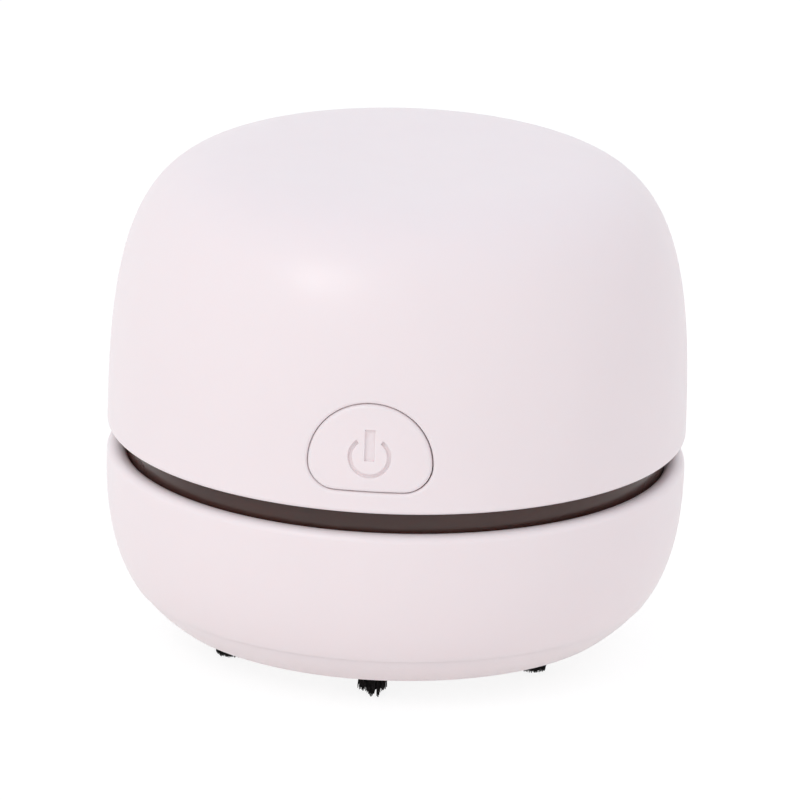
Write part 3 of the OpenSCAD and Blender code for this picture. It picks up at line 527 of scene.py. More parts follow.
def top_shell(material):
    """The dome: wall, rounded rim, holes for button, port and lamp, and screw posts."""
    shape = Shape()
    outer = dome.points(RIM_Z + RIM_ROUND, TOP_Z, SKIN_STEP)
    inner_top = dome_inside.base_z + dome_inside.height
    inner = inward(dome_inside.points(inner_top, RIM_Z + RIM_INNER_ROUND, BACK_STEP))
    small = RIM_INNER_ROUND
    rim = arc(inner[-1][0] + small, RIM_Z + small, small, 180, 270, 5)
    rim += arc(outer[0][0] - RIM_ROUND, RIM_Z + RIM_ROUND, RIM_ROUND, -90, 0, 8)
    profile = inner[:-1] + rim[:-1] + outer
    last_inner, first_outer = len(inner) - 1, len(profile) - len(outer)
    front = Window(-1, BUTTON_Z - 2, BUTTON_Z + BUTTON_H + 2.2, [hole_outline])
    back = Window(1, PORT_Z - 4, PORT_Z + 4, [port_outline, lamp_outline])
    windows = (front, back)
    outer_spans = [w.span(profile, first_outer, len(profile)) for w in windows]
    inner_spans = [w.span(profile, 0, last_inner) for w in windows]
    rows = turned(shape, profile, windows=outer_spans + inner_spans)
    for window, outer_span, inner_span, gap, radius in zip(
            windows, outer_spans, inner_spans, (HOLE_GROWN, 0.0), (HOLE_ROUND, SMALL_HOLE_ROUND)):
        skins, backs = [], []
        for outline in window.holes:
            edges = edge_rows(shape, dome, window.side, outline, rounded_edge(gap, radius, 1))
            backs.append(shape.add([on_shell(dome_inside, window.side, *p)[0]
                                    for p, _ in outline(gap)]))
            shape.bridge(edges[-1], backs[-1])
            skins.append(edges[0])
        window.close(shape, dome, 1, rows, profile, outer_span, skins, gap + radius, SKIN_STEP)
        window.close(shape, dome_inside, -1, rows, profile, inner_span, backs, gap, BACK_STEP)

    def into_wall(r):
        return dome_inside.height_at(r) + POST_IN_WALL
    for x, y in spots_on(POST_RING, POST_ANGLES):
        upright(shape, x, y, [(POST_BORE, POST_LOW + POST_BORE_H), (POST_BORE, POST_LOW),
                              (POST_R, POST_LOW), (POST_R, into_wall)])
    return shape.make("dome_shell", material, "head", "top_shell")


# ---------- the power button ----------

BUTTON_ROUND = 0.55
FLANGE_IN_R = BODY_R - DOME_WALL - 2.1
FLANGE_OUT_R = FLANGE_IN_R + 0.9
FLANGE_LIFT = 1.4               # lower edge of the back flange over the button's
CAP_BACK_R = FLANGE_IN_R + 0.05  # back of the button, just inside the flange
PRESS_POST_R = 1.6              # post behind the button, which meets the switch
FACE_SPACING = 0.8              # between points on the face,
SIGN_SPACING = 0.6              # in the sign
HIDDEN_SPACING = 2.0            # and on the back
ENGRAVE = 0.5                   # depth of the sign
# Section of the engraved lines: how far out of the line's edge, depth, tilt of the face
GROOVE = [(0.06, 0.0, 0), (0.02, 0.02, 40), (0.0, 0.07, 78), (-0.04, ENGRAVE - 0.06, 78),
          (-0.09, ENGRAVE, 20)]


def plate(shape, outline, reach):
    """An outline's row of points on an upright cylinder of radius reach."""
    return shape.add([(x, -sqrt(reach * reach - x * x), z) for (x, z), _ in outline])


def close_plate(shape, row, outline, reach):
    """Closes such a row along its cylinder."""
    def place(u, v):
        return (u, -sqrt(reach * reach - u * u), v), UNKNOWN
    fill(shape, [row], [[p for p, _ in outline]], HIDDEN_SPACING, place)


def power_button(material):
    """The button: face flush with the dome, engraved sign, back flange and post."""
    shape = Shape()
    edges = edge_rows(shape, dome, -1, button_outline,
                      rounded_edge(BUTTON_GROWN, BUTTON_ROUND, -1), lean=-1)
    sides = button_outline(BUTTON_GROWN)
    back = plate(shape, sides, CAP_BACK_R)
    shape.bridge(edges[-1], back)
    close_plate(shape, back, sides, CAP_BACK_R)
    outlines = (ring_outline, bar_outline)
    lines = [edge_rows(shape, dome, -1, outline, GROOVE) for outline in outlines]
    for rows, outline in zip(lines, outlines):
        floor = [p for p, _ in outline(GROOVE[-1][0])]
        fill(shape, [rows[-1]], [floor], SIGN_SPACING,
             lambda u, v: on_shell(dome, -1, u, v, ENGRAVE))
    face = [p for p, _ in button_outline(BUTTON_GROWN - BUTTON_ROUND)]
    signs = [[p for p, _ in outline(GROOVE[0][0])] for outline in outlines]
    fill(shape, [edges[0], lines[0][0], lines[1][0]], [face, *signs], FACE_SPACING,
         lambda u, v: on_shell(dome, -1, u, v))
    # Flange behind the shell, at the sides and top
    low = BUTTON_Z + FLANGE_LIFT
    flange = [(p, out) for p, out in button_outline(FLANGE_LAP) if p[1] > low]
    split = max(range(len(flange)), key=lambda k: dist(flange[k][0], flange[k - 1][0]))
    flange = flange[split:] + flange[:split]
    flange += stretch(flange[-1][0], flange[0][0])
    faces = [(plate(shape, flange, reach), reach) for reach in (FLANGE_OUT_R, FLANGE_IN_R)]
    shape.bridge(*[row for row, _ in faces])
    for row, reach in faces:
        close_plate(shape, row, flange, reach)
    # Post that meets the switch
    plunger_low, plunger_high = box_mm("switch_plunger")
    post_z = (plunger_low.z + plunger_high.z) / 2
    r = PRESS_POST_R
    shape.chain([shape.add([(r * cos(a), y, post_z + r * sin(a)) for a in full_turn(32)])
                 for y in (plunger_low.y, -FLANGE_IN_R - 0.2)], capped=True)
    return shape.make("button_cap", material, "button", "power_button")


# ---------- the dust bowl ----------

SEAM_GAP = 0.03                 # gap of the seam between bowl and base plate
SEAM_ROUND = 0.12               # round on the bowl's edge at the seam
BASE_WALL = 1.6
BASE_FLOOR_R = 35.9 - BASE_WALL  # inside of the base plate at its floor
BASE_TOP_R = SEAM_R - BASE_WALL - 0.2
CHAMBER_Z = FLOOR_Z + BOWL_FLOOR
CHAMBER_BEND = 1.6              # height of the round between wall and floor
TUBE_HOLE_R = 8.6               # hole for the inlet tube
MID_R = 20                      # a row in between, on the flat floor
BOSS_R = 2.9                    # screw bosses on the floor
BOSS_TOP = CHAMBER_Z + 4.6
BOSS_ROUND = 0.3
BASE_SCREW_RING = 19.0
BASE_SCREW_ANGLES = (0, 120, 240)
LEDGE_R = collar_high.x - 1.5   # ledge that the collar stands on
LEDGE_EDGE = 1.2
LEDGE_SLOPE = 6 / 7


def dust_bowl(material):
    """The lower shell: outer wall, rounded lip, ledge, chamber and screw bosses."""
    shape = Shape()
    widest = LIP_Z - LIP_R
    low_z = SEAM_Z + SEAM_GAP
    outer = bowl.points(low_z + SEAM_ROUND, widest, SKIN_STEP)
    half_w = LIP_W / 2
    lip = [(BODY_R - half_w + half_w * cos(t), widest + LIP_R * sin(t),
            *unit(cos(t) / half_w, sin(t) / LIP_R)) for t in angles_to(0, 180, 16)[1:]]
    seat_z = collar_low.z
    above = inward(bowl_inside.points(widest - LIP_W + BOWL_WALL, seat_z, SKIN_STEP * 0.9))
    slope_z = seat_z - LEDGE_EDGE
    while LEDGE_R + (seat_z - LEDGE_EDGE - slope_z) / LEDGE_SLOPE < bowl_inside.radius(slope_z):
        slope_z -= 0.01
    below = inward(bowl_inside.points(slope_z, CHAMBER_Z + CHAMBER_BEND, SKIN_STEP * 1.2))
    foot_r = bowl_inside.radius(CHAMBER_Z)
    start, middle, end = below[-1][:2], (foot_r, CHAMBER_Z), (foot_r - CHAMBER_BEND, CHAMBER_Z)
    foot = []
    for i in range(1, 7):
        t = i / 6
        foot.append(corner(*[(1 - t) ** 2 * a + 2 * t * (1 - t) * b + t * t * c
                             for a, b, c in zip(start, middle, end)]))
    start_r = outer[0][0]
    profile = [
        *arc(start_r - SEAM_ROUND, low_z + SEAM_ROUND, SEAM_ROUND, -90, 0, 4)[:-1],
        *outer, *lip, *above,
        corner(LEDGE_R + 0.15, seat_z), corner(LEDGE_R, seat_z - 0.15),
        corner(LEDGE_R, seat_z - LEDGE_EDGE), corner(bowl_inside.radius(slope_z), slope_z),
        *below[1:], *foot,
        corner(MID_R, CHAMBER_Z), corner(TUBE_HOLE_R + 0.2, CHAMBER_Z),
        corner(TUBE_HOLE_R, CHAMBER_Z - 0.2), corner(TUBE_HOLE_R, FLOOR_Z), corner(MID_R, FLOOR_Z),
        corner(BASE_FLOOR_R - SEAM_GAP, FLOOR_Z), corner(BASE_TOP_R - SEAM_GAP, low_z)]
    turned(shape, profile, closed=True)
    for x, y in spots_on(BASE_SCREW_RING, BASE_SCREW_ANGLES):
        upright(shape, x, y, [(BOSS_R, CHAMBER_Z - 0.3), (BOSS_R, BOSS_TOP - BOSS_ROUND),
                              (BOSS_R - BOSS_ROUND, BOSS_TOP)])
    return shape.make("bowl_shell", material, "cup", "dust_bowl")


# ---------- the dust collar ----------

COLLAR_R = collar_high.x - 0.4  # outside of the collar above the slot
COLLAR_IN_R = COLLAR_R - 1.9
COLLAR_ROUND = 0.3              # round on its upper edge
SHELF_H = 1.8                   # ledge inside, under the filter basket
SHELF_IN_R = COLLAR_IN_R - 1.7
CHANNEL_R = COLLAR_IN_R + 0.9   # bottom of the channels for the head's lugs
CHANNEL_Z = box_mm("fan_housing")[0].z + 0.8
CHANNEL_H = 2.0
CHANNEL_ANGLES = (30, 150, 270)
CHANNEL_HALF = 3.9              # half width of a channel, in degrees
LOCK_ANGLE = 22                 # turn of the lock


def dust_collar(material):
    """The smoke-brown ring in the slot, with a channel inside for each lug of the head."""
    shape = Shape()
    bounds = [a + d for a in CHANNEL_ANGLES
              for d in (-CHANNEL_HALF, CHANNEL_HALF, CHANNEL_HALF + LOCK_ANGLE)]
    angles = sorted([360 / COLUMNS * i for i in range(COLUMNS)] + bounds)
    levels = [collar_low.z + SHELF_H, CHANNEL_Z, CHANNEL_Z + CHANNEL_H, collar_high.z]
    known = {}

    def number(r, k, z):
        """Number of the point on column k at a radius and a height."""
        key = (round(r, 3), k % len(angles), round(z, 3))
        if key not in known:
            a = radians(angles[key[1]])
            known[key] = shape.add([(r * cos(a), r * sin(a), z)])[0]
        return known[key]

    def cut(k, level):
        """Whether a channel takes the cell after column k between two levels."""
        middle = (angles[k % len(angles)] + angles[(k + 1) % len(angles)]) / 2
        if k % len(angles) == len(angles) - 1:
            middle = 0.0
        reach = CHANNEL_HALF + (LOCK_ANGLE if level == 1 else 0)
        return level > 0 and any((middle - a + CHANNEL_HALF) % 360 < CHANNEL_HALF + reach
                                 for a in CHANNEL_ANGLES)

    seat, top = collar_low.z, collar_high.z
    outside = [(SHELF_IN_R, levels[0]), (SHELF_IN_R, seat), (collar_high.x - 0.2, seat),
               (collar_high.x, seat + 0.2), (collar_high.x, RIM_Z + 0.2), (COLLAR_R, RIM_Z + 0.8)]
    outside += [(r, z) for r, z, _, _ in arc(COLLAR_R - COLLAR_ROUND, top - COLLAR_ROUND,
                                             COLLAR_ROUND, 0, 90, 6)]
    outside.append((CHANNEL_R, top))
    for k in range(len(angles)):
        def quad(*places):
            shape.faces.append(tuple(number(r, k + side, z) for r, side, z in places))
        for (r, z), (r2, z2) in zip(outside, outside[1:]):
            quad((r, 0, z), (r, 1, z), (r2, 1, z2), (r2, 0, z2))
        quad((SHELF_IN_R, 0, levels[0]), (COLLAR_IN_R, 0, levels[0]),
             (COLLAR_IN_R, 1, levels[0]), (SHELF_IN_R, 1, levels[0]))
        for level, (low, high) in enumerate(zip(levels, levels[1:])):
            r = CHANNEL_R if cut(k, level) else COLLAR_IN_R
            quad((r, 0, low), (r, 1, low), (r, 1, high), (r, 0, high))
            if level and cut(k, level) != cut(k, level - 1):
                quad((COLLAR_IN_R, 0, low), (COLLAR_IN_R, 1, low),
                     (CHANNEL_R, 1, low), (CHANNEL_R, 0, low))
            if cut(k, level) != cut(k - 1, level):
                quad((COLLAR_IN_R, 0, low), (COLLAR_IN_R, 0, high),
                     (CHANNEL_R, 0, high), (CHANNEL_R, 0, low))
        if not cut(k, 2):
            quad((COLLAR_IN_R, 0, top), (COLLAR_IN_R, 1, top),
                 (CHANNEL_R, 1, top), (CHANNEL_R, 0, top))
    return shape.make("collar_ring", material, "cup", "dust_collar")


# ---------- filter paper and seals ----------

PLEAT_PITCH = 3.4
PAPER_T = 0.4                   # thickness of the paper
PLEAT_SHARP = 0.96              # 1 folds the paper into sharp creases
PLEAT_STEPS = 16                # to each pitch
SEAL_COLUMNS = 200              # steps round the seals


def filter_paper(material):
    """The folded paper: rounded, slightly uneven pleats, cut to the frame's circle."""
    shape = Shape()
    low, high = box_mm("filter_pleats")
    reach = high.y - 0.05
    middle = (low.z + high.z) / 2
    swing = (high.z - low.z) / 2 - PAPER_T
    count = round(2 * reach / PLEAT_PITCH * PLEAT_STEPS)
    xs = np.linspace(-reach + 0.02, reach - 0.02, count)
    wave = tau / PLEAT_PITCH

    def height(x, y):
        k = round(x / PLEAT_PITCH)
        uneven = 0.05 * PLEAT_PITCH * sin(0.21 * y + 1.9 * k)
        tips = 0.12 * sin(0.35 * y + 2.3 * k)
        along = x + uneven * cos(wave * x / 2) ** 2
        slant = asin(PLEAT_SHARP * cos(wave * along))
        return middle - swing * slant / asin(PLEAT_SHARP) * (1 - abs(tips) / swing)
    rows = []
    for x in xs:
        half = sqrt(reach * reach - x * x)
        upper, lower = [], []
        for y in np.linspace(-half, half, 15):
            slope = (height(x + 0.01, y) - height(x - 0.01, y)) / 0.02
            size = hypot(slope, 1)
            dx, dz = -slope / size * PAPER_T / 2, PAPER_T / 2 / size
            z = height(x, y)
            upper.append((max(-reach, min(reach, x + dx)), y, z + dz))
            lower.append((max(-reach, min(reach, x - dx)), y, z - dz))
        rows.append(shape.add(upper + lower[::-1]))
    shape.chain(rows, capped=True)
    return shape.make("pleated_paper", material, "cartridge", "filter_pleats", 60)


def filter_seal(material):
    """The rubber band round the filter's frame, with two soft lips."""
    shape = Shape()
    low, high = box_mm("filter_gasket")
    inner, out = box_mm("filter_frame")[1].y, high.y
    band = inner + 0.35
    lip_h = 0.9
    half = lip_h / 2
    profile = [corner(inner, low.z)]
    for z in (low.z, high.z - lip_h):
        profile += [corner(band, z), *small_arc(out - half, z + half, half, -90, 90, 10),
                    corner(band, z + lip_h)]
    profile.append(corner(inner, high.z))
    turned(shape, profile, columns=SEAL_COLUMNS, closed=True)
    return shape.make("filter_band", material, "cartridge", "filter_gasket", 50)


def head_seal(material):
    """The flat ring between collar and head, with a groove along its middle."""
    shape = Shape()
    low, high = box_mm("head_gasket")
    inner, out, round_r = CHANNEL_R + 0.02, high.x, 0.12
    height = high.z - low.z
    middle = (inner + out) / 2
    left, right = inner + round_r, out - round_r
    lower, upper = low.z + round_r, high.z - round_r
    groove_z = high.z - height * 0.2
    profile = [*small_arc(right, lower, round_r, -90, 0, 4),
               *small_arc(right, upper, round_r, 0, 90, 4),
               corner(middle + 0.2, high.z), corner(middle + 0.12, groove_z),
               corner(middle - 0.12, groove_z), corner(middle - 0.2, high.z),
               *small_arc(left, upper, round_r, 90, 180, 4),
               *small_arc(left, lower, round_r, 180, 270, 4)]
    turned(shape, profile, columns=SEAL_COLUMNS, closed=True)
    return shape.make("seal_ring", material, "seal", "head_gasket", 50)


# ---------- the base plate ----------

BASE_EDGE = 0.6                 # round on the lower edge
BASE_BULGE = 0.35               # bulge of the side
BASE_R = 34.0                   # radius at the lower edge
INLET_HOLE_R = inlet_high.x - 2.6  # hole for the inlet's mouth
SCREW_HEAD_R = 1.9
SCREW_BORE_R = 1.1
DISH_DEPTH = 0.6
DISH_Z = BASE_Z + DISH_DEPTH
DISH_R = BASE_SCREW_RING + 3.4
SOCKET_DEPTH = 1.8
TUFT_RING = -(tuft_low.y + tuft_high.y) / 2
SOCKET_R = 2.1
TUFT_COUNT = 6


def base_plate(material):
    """The plate under the bowl: tuft sockets, screw seats, dish and the inlet's hole."""
    shape = Shape()
    edge = arc(BASE_R - BASE_EDGE, BASE_Z + BASE_EDGE, BASE_EDGE, -90, -53, 5)
    low_r, low_z = edge[-1][:2]
    side = []
    for i in range(1, 13):
        t = i / 12
        side.append((low_r + (SEAM_R - low_r) * t + BASE_BULGE * 4 * t * (1 - t),
                     low_z + (SEAM_Z - 0.15 - low_z) * t,
                     *unit(SEAM_Z - low_z, low_r - SEAM_R - BASE_BULGE * 4 * (1 - 2 * t))))
    top_edge = [corner(SEAM_R - 0.05, SEAM_Z - 0.04), corner(SEAM_R - 0.15, SEAM_Z)]
    trap_r, trap_z = inlet_high.x + 0.2, FLOOR_Z - 1.2    # step that traps the inlet's flange
    hole_r, round_r = INLET_HOLE_R, 0.25
    outside = turned(shape, [*edge, *side, *top_edge, corner(BASE_TOP_R, SEAM_Z),
                             corner(BASE_FLOOR_R, FLOOR_Z)])
    inside_rows = turned(shape, [
        corner(trap_r, FLOOR_Z), corner(trap_r, trap_z), corner(hole_r, trap_z),
        *arc(hole_r + round_r, DISH_Z + round_r, round_r, 180, 270, 4)])
    dish = turned(shape, [corner(DISH_R - DISH_DEPTH, DISH_Z), corner(DISH_R, BASE_Z)])

    def flat_row(numbers):
        return [shape.points[i][:2] for i in numbers]

    def flat_face(z, way, outer, inner, recesses, spacing):
        rows = [outer, *inner, *recesses]
        fill(shape, rows, [flat_row(r) for r in rows], spacing,
             lambda u, v: ((u, v, z), (0, 0, way)))

    def recesses_at(spots, rings):
        return [upright(shape, x, y, rings, 36, capped=False) for x, y in spots]
    seats = recesses_at(spots_on(BASE_SCREW_RING, BASE_SCREW_ANGLES),
                        [(SCREW_HEAD_R + 0.2, DISH_Z), (SCREW_HEAD_R + 0.1, DISH_Z + 0.1),
                         (SCREW_BORE_R, DISH_Z + 0.1 + 0.9), (SCREW_BORE_R, FLOOR_Z)])
    tuft_angles = [-90 + 360 / TUFT_COUNT * i for i in range(TUFT_COUNT)]
    sockets = recesses_at(spots_on(TUFT_RING, tuft_angles),
                          [(SOCKET_R + 0.15, BASE_Z), (SOCKET_R, BASE_Z + 0.15),
                           (SOCKET_R, BASE_Z + SOCKET_DEPTH)])
    shape.faces += [tuple(rows[-1]) for rows in sockets]
    flat_face(BASE_Z, -1, outside[0], [dish[1]], [rows[0] for rows in sockets], 2.2)
    flat_face(DISH_Z, -1, dish[0], [inside_rows[-1]], [rows[0] for rows in seats], 2.2)
    flat_face(FLOOR_Z, 1, outside[-1], [inside_rows[0]], [rows[-1] for rows in seats], 3.0)
    return shape.make("base_shell", material, "cup", "base_plate")


# ---------- brush tufts ----------

STRANDS = 280
STRAND_R = 0.1
STRAND_RINGS = 5
STRAND_SIDES = 5
STRAND_TAPER = 0.45
STRAND_BEND = 1.8               # 1 would keep a leaning strand straight
TIP_R = 0.15                    # half width of a tuft's point
TIP_PULL = 0.7                  # how far a point draws in its strands
UNEVEN_CUT = 0.06
UNEVEN_LEAN = 0.05
SPLAY = (0.05, 0.3)             # least and most lean away from the middle
# How each tuft is cut: height of the tips at its edge, where its tips lean, and its
# points, each with its place, height and slope; places are (outwards, along the ring)
TUFT_CUTS = [
    (1.0, (0.9, 0.0), [(1.4, 0.0, 0.0, 1.3), (1.4, 0.95, 0.0, 2.6)]),
    (0.7, (-0.1, -0.9), [(0.3, 0.4, 0.05, 1.0), (1.0, 1.2, 0.02, 1.5)]),
    (1.1, (-0.2, 0.1), [(-0.3, 0.2, 0.05, 0.9)]),
    (1.3, (-0.1, 0.0), [(0.2, -0.5, 0.1, 1.2), (-0.3, 0.7, 0.05, 1.3)]),
    (0.9, (-0.2, -0.1), [(0.1, 0.4, 0.05, 0.8)]),
    (0.2, (-0.1, 0.9), [(0.0, -0.4, 0.02, 0.4)]),
]


def tuft(index, material):
    """A round tuft of nylon strands, cut ragged, whose longest strands reach the desk."""
    rng = np.random.default_rng(40 + index)
    turn = radians(-90 + 360 / TUFT_COUNT * (index - 1))
    out = np.array([cos(turn), sin(turn)])
    along = np.array([-sin(turn), cos(turn)])
    edge_z, bias, points = TUFT_CUTS[index - 1]
    shape = Shape()
    golden = pi * (3 - sqrt(5))
    turns = full_turn(STRAND_SIDES)
    root_z = BASE_Z + 0.6
    for i in range(STRANDS):
        share = sqrt((i + 0.5) / STRANDS)
        way = np.array([cos(i * golden), sin(i * golden)])
        root = way * share * (SOCKET_R - STRAND_R)
        heights = [z + slope * max(0.0, dist(root, (x, y)) - TIP_R)
                   for x, y, z, slope in points]
        nearest = int(np.argmin(heights))
        tip_z = min(edge_z, heights[nearest]) + rng.normal(0, UNEVEN_CUT)
        pull = max(0.0, 1 - tip_z / edge_z) * TIP_PULL
        lean = root / SOCKET_R * rng.uniform(*SPLAY) + rng.normal(0, UNEVEN_LEAN, 2)
        tip = root + bias + lean + pull * (np.array(points[nearest][:2]) - root)
        tip_z = max(0.02, tip_z)
        rows = []
        for k in range(STRAND_RINGS):
            t = k / (STRAND_RINGS - 1)
            x, y = root + (tip - root) * t ** STRAND_BEND
            r = STRAND_R * (1 - STRAND_TAPER * t)
            z = root_z + (tip_z - root_z) * t
            places = [(TUFT_RING + x + r * cos(a)) * out + (y + r * sin(a)) * along
                      for a in turns]
            rows.append(shape.add([(*place, z) for place in places]))
        shape.chain(rows, capped=True)
    upright(shape, *(TUFT_RING * out),
            [(SOCKET_R - 0.05, BASE_Z + 0.3), (SOCKET_R - 0.05, BASE_Z + 1.7)])
    return shape.make(f"bristles_{index}", material, "cup", f"brush_tuft_{index}", 60)


# ---------- materials ----------

NOISE_LOW, NOISE_HIGH = 0.3, 0.7  # range of a noise that the looks follow
SMEAR = 260                     # gloss patches per metre


class Nodes:
    """The node tree of a material or world in the making."""

    def __init__(self, owner):
        owner.use_nodes = True
        self.tree = owner.node_tree
        self.tree.nodes.clear()

    def add(self, kind, settings=None, **sockets):
        """Adds a node; a socket takes a value or another node's output."""
        node = self.tree.nodes.new("ShaderNode" + kind)
        for key, value in (settings or {}).items():
            setattr(node, key, value)
        for key, value in sockets.items():
            socket = node.inputs[key.replace("_", " ")]
            if isinstance(value, bpy.types.NodeSocket):
                self.tree.links.new(value, socket)
            else:
                socket.default_value = value
        return node

    def join(self, kind, a, b, first=0, **more):
        """Adds a node that joins two outputs, at its input number first and the next."""
        node = self.add(kind, **more)
        for k, output in enumerate((a, b)):
            self.tree.links.new(output, node.inputs[first + k])
        return node.outputs[0]

    def object_place(self, squeeze=(1, 1, 1)):
        """Place on the object, squeezed so that noise comes out drawn along an axis."""
        place = self.add("TexCoord").outputs["Object"]
        return self.add("Mapping", Vector=place, Scale=squeeze).outputs["Vector"]

    def noise(self, place, scale, detail):
        return self.add("TexNoise", Vector=place, Scale=scale, Detail=detail).outputs["Fac"]

    def ramp(self, fac, low, high, start=NOISE_LOW, end=NOISE_HIGH):
        """A colour between two, by a factor."""
        node = self.add("ValToRGB", Fac=fac)
        for element, place, colour in zip(node.color_ramp.elements, (start, end), (low, high)):
            element.position = place
            element.color = (*colour, 1)
        return node.outputs["Color"]

    def between(self, fac, low, high):
        """A number between two, by a noise."""
        return self.add("MapRange", Value=fac, From_Min=NOISE_LOW, From_Max=NOISE_HIGH,
                        To_Min=low, To_Max=high).outputs["Result"]


def finish(name, colour, rough, vary=0.03, patch=90, rough_vary=0.05, grain=2600, depth=6e-6,
           squeeze=(1, 1, 1), **sockets):
    """A surface with mottled colour, uneven gloss and a fine grain.

    patch and grain are features per metre, depth is the grain's height in metres, and
    sockets are further values of the shader.
    """
    made = bpy.data.materials.new(name)
    nodes = Nodes(made)
    place = nodes.object_place(squeeze)
    darker = [c * (1 - vary) for c in colour]
    lighter = [min(1, c * (1 + vary)) for c in colour]
    tint = nodes.ramp(nodes.noise(place, patch, 4.0), darker, lighter)
    gloss = nodes.between(nodes.noise(place, SMEAR, 3.0), rough - rough_vary, rough + rough_vary)
    bump = nodes.add("Bump", Height=nodes.noise(place, grain, 2.0), Distance=depth, Strength=1.0)
    shader = nodes.add("BsdfPrincipled", Base_Color=tint, Roughness=gloss,
                       Normal=bump.outputs["Normal"], **sockets)
    nodes.add("OutputMaterial", Surface=shader.outputs["BSDF"])
    return made


FINISHES = {
    "shell": dict(rough=0.36, vary=0.006, patch=45, rough_vary=0.03, grain=3200, depth=2.5e-6,
                  Subsurface_Weight=0.25, Subsurface_Radius=(1.0, 0.75, 0.7),
                  Subsurface_Scale=0.002, Specular_IOR_Level=0.42),
    "smoke_plastic": dict(rough=0.2, vary=0.08, patch=70, rough_vary=0.04, grain=900,
                          depth=2e-6, IOR=1.49, Transmission_Weight=0.5,
                          Subsurface_Weight=0.85, Subsurface_Radius=(1.0, 0.35, 0.25),
                          Subsurface_Scale=0.005),
    "bristle": dict(rough=0.5, vary=0.5, patch=1800, rough_vary=0.1, grain=5000, depth=8e-6,
                    Specular_IOR_Level=0.1),
    "grey_plastic": dict(rough=0.5, grain=2400, depth=9e-6),
    "white_plastic": dict(rough=0.48, vary=0.015, grain=2400, depth=8e-6,
                          Subsurface_Weight=0.05, Subsurface_Scale=0.001),
    "black_plastic": dict(rough=0.45, vary=0.15, depth=9e-6),
    "filter_paper": dict(rough=0.9, vary=0.06, patch=700, rough_vary=0.04, grain=2200,
                         depth=5e-5, Sheen_Weight=0.3, Sheen_Roughness=0.6),
    "soft_seal": dict(rough=0.82, vary=0.25, patch=500, grain=3500, depth=2e-5,
                      Sheen_Weight=0.15, Sheen_Roughness=0.5),
    "screw_steel": dict(rough=0.34, vary=0.06, patch=900, rough_vary=0.08, grain=4500,
                        Metallic=1.0),
    "motor_steel": dict(rough=0.28, vary=0.05, patch=120, rough_vary=0.08, grain=260,
                        depth=3e-6, squeeze=(1, 1, 22), Metallic=1.0),
    "brass": dict(rough=0.3, vary=0.1, patch=400, rough_vary=0.08, grain=2000, depth=4e-6,
                  Metallic=1.0),
    "cell_wrap": dict(rough=0.3, vary=0.05, patch=150, rough_vary=0.06, grain=350, depth=2e-5,
                      Coat_Weight=0.4, Coat_Roughness=0.15),
    "board": dict(rough=0.4, vary=0.25, patch=420, grain=1600, depth=1.2e-5,
                  Coat_Weight=0.3, Coat_Roughness=0.2),
    "light_pipe": dict(rough=0.3, vary=0.02, patch=500, grain=3000, depth=1e-5, IOR=1.5,
                       Transmission_Weight=0.2, Subsurface_Weight=0.6, Subsurface_Scale=0.002),
    "lead_rubber": dict(rough=0.45, vary=0.08, patch=600, grain=3000),
}
# The record's colours, but for two that were matched under the studio light
COLOURS = {row["slot"]: row["base_color"][:3] for row in frame["record"]["materials"]}
COLOURS.update(bristle=(0.012, 0.011, 0.011), smoke_plastic=(0.135, 0.056, 0.043))
materials = {slot: finish(slot + "_finish", COLOURS[slot], **values)
             for slot, values in FINISHES.items()}

for node in frame["nodes"].values():
    for held in node.material_slots:
        held.material = materials[held.material.name.split(".")[0]]


# ---------- the object ----------

top_shell(materials["shell"])
power_button(materials["shell"])
dust_bowl(materials["shell"])
base_plate(materials["shell"])
dust_collar(materials["smoke_plastic"])
filter_paper(materials["filter_paper"])
filter_seal(materials["soft_seal"])
head_seal(materials["soft_seal"])
for number in range(1, TUFT_COUNT + 1):
    tuft(number, materials["bristle"])


# ---------- floor, light and camera ----------

def backdrop(nodes, lit, seen):
    """Shows seen to the camera, to reflections and through glass, and lit to other light."""
    path = nodes.add("LightPath").outputs
    fac = path["Is Camera Ray"]
    for kind in ("Is Glossy Ray", "Is Transmission Ray"):
        fac = nodes.join("Math", fac, path[kind], settings={"operation": "MAXIMUM"})
    return nodes.join("MixShader", lit, seen, 1, Fac=fac)


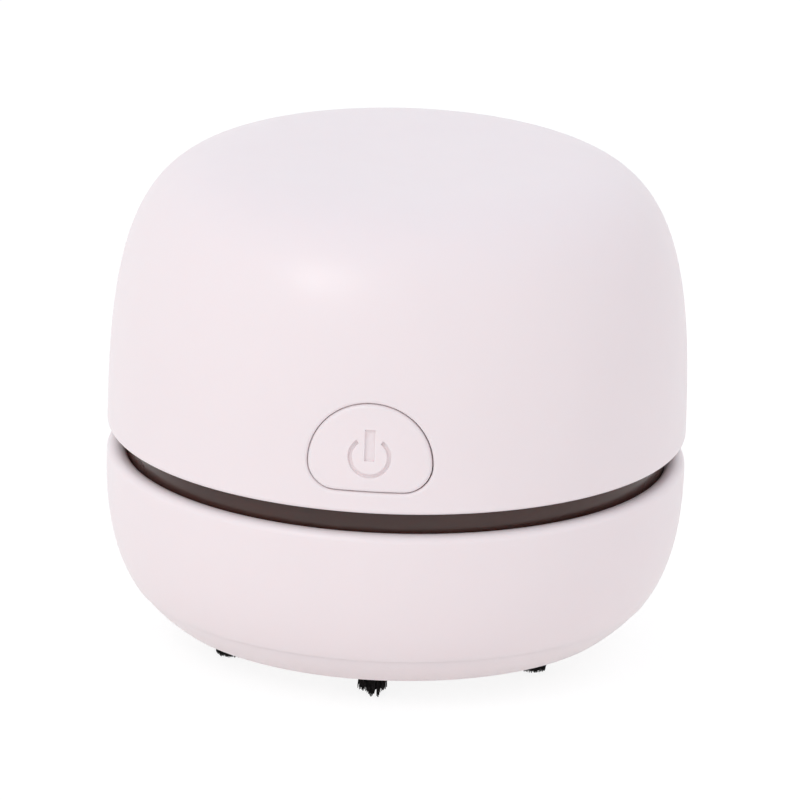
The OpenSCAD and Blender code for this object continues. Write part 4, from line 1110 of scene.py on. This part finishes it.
def studio_floor():
    """A pale floor that shows white but keeps the object's shadow."""
    made = bpy.data.materials.new("floor_paper")
    nodes = Nodes(made)
    lit = nodes.add("BsdfDiffuse", Color=(0.98, 0.945, 0.925, 1)).outputs[0]
    shadowed = nodes.add("BsdfDiffuse", Color=(0.17, 0.17, 0.17, 1)).outputs[0]
    glow = nodes.add("Emission", Color=(1, 1, 1, 1), Strength=0.88).outputs[0]
    seen = nodes.join("AddShader", shadowed, glow)
    nodes.add("OutputMaterial", Surface=backdrop(nodes, lit, seen))
    half = 3.0
    mesh = bpy.data.meshes.new("floor")
    mesh.from_pydata([(-half, -half, 0), (half, -half, 0), (half, half, 0), (-half, half, 0)],
                     [], [(0, 1, 2, 3)])
    mesh.materials.append(made)
    placed("floor", mesh)


def studio_sky():
    """Soft light from all round, a little bluer from above, in front of a white backdrop."""
    world = bpy.data.worlds.new("studio")
    bpy.context.scene.world = world
    nodes = Nodes(world)
    way = nodes.add("TexCoord").outputs["Generated"]
    height = nodes.add("SeparateXYZ", Vector=way).outputs["Z"]
    tint = nodes.ramp(height, (0.93, 0.885, 0.855), (0.81, 0.85, 0.94), 0.0, 0.9)
    lit = nodes.add("Background", Color=tint, Strength=1.0).outputs[0]
    seen = nodes.add("Background", Color=(1, 1, 1, 1), Strength=1.0).outputs[0]
    nodes.add("OutputWorld", Surface=backdrop(nodes, lit, seen))


def softbox(name, place, size, watts, colour):
    """A square lamp that faces the middle of the object."""
    lamp = bpy.data.lights.new(name, "AREA")
    lamp.size = size
    lamp.energy = watts
    lamp.color = colour
    place = Vector(place)
    target = Vector((0, 0, TOP_Z / 2)) * MM
    placed(name, lamp).matrix_world = (
        Matrix.Translation(place) @ (place - target).to_track_quat("Z", "Y").to_matrix().to_4x4())


def photo_camera(distance=1.4, azimuth=5.05, elevation=17.65, roll=1.75, lens=424,
                 aim=(0.4, 36.66)):
    """The photograph's view: aim is the frame's middle, across and up, in millimetres."""
    camera = bpy.data.cameras.new("camera")
    camera.lens = lens
    camera.sensor_width = 36
    holder = placed("camera", camera)
    turn = Matrix.Rotation(radians(azimuth), 4, "Z")
    tilt = Matrix.Rotation(radians(90 - elevation), 4, "X")
    place = (turn @ Vector((aim[0], 0, aim[1], 1))).xyz * MM
    holder.matrix_world = (Matrix.Translation(place) @ turn @ tilt
                           @ Matrix.Translation((0, 0, distance))
                           @ Matrix.Rotation(radians(roll), 4, "Z"))
    bpy.context.scene.camera = holder


studio_floor()
studio_sky()
softbox("key", (-0.42, -0.64, 0.66), 0.3, 1.6, (1, 0.99, 0.96))
photo_camera()
bpy.context.scene.view_settings.view_transform = "Standard"
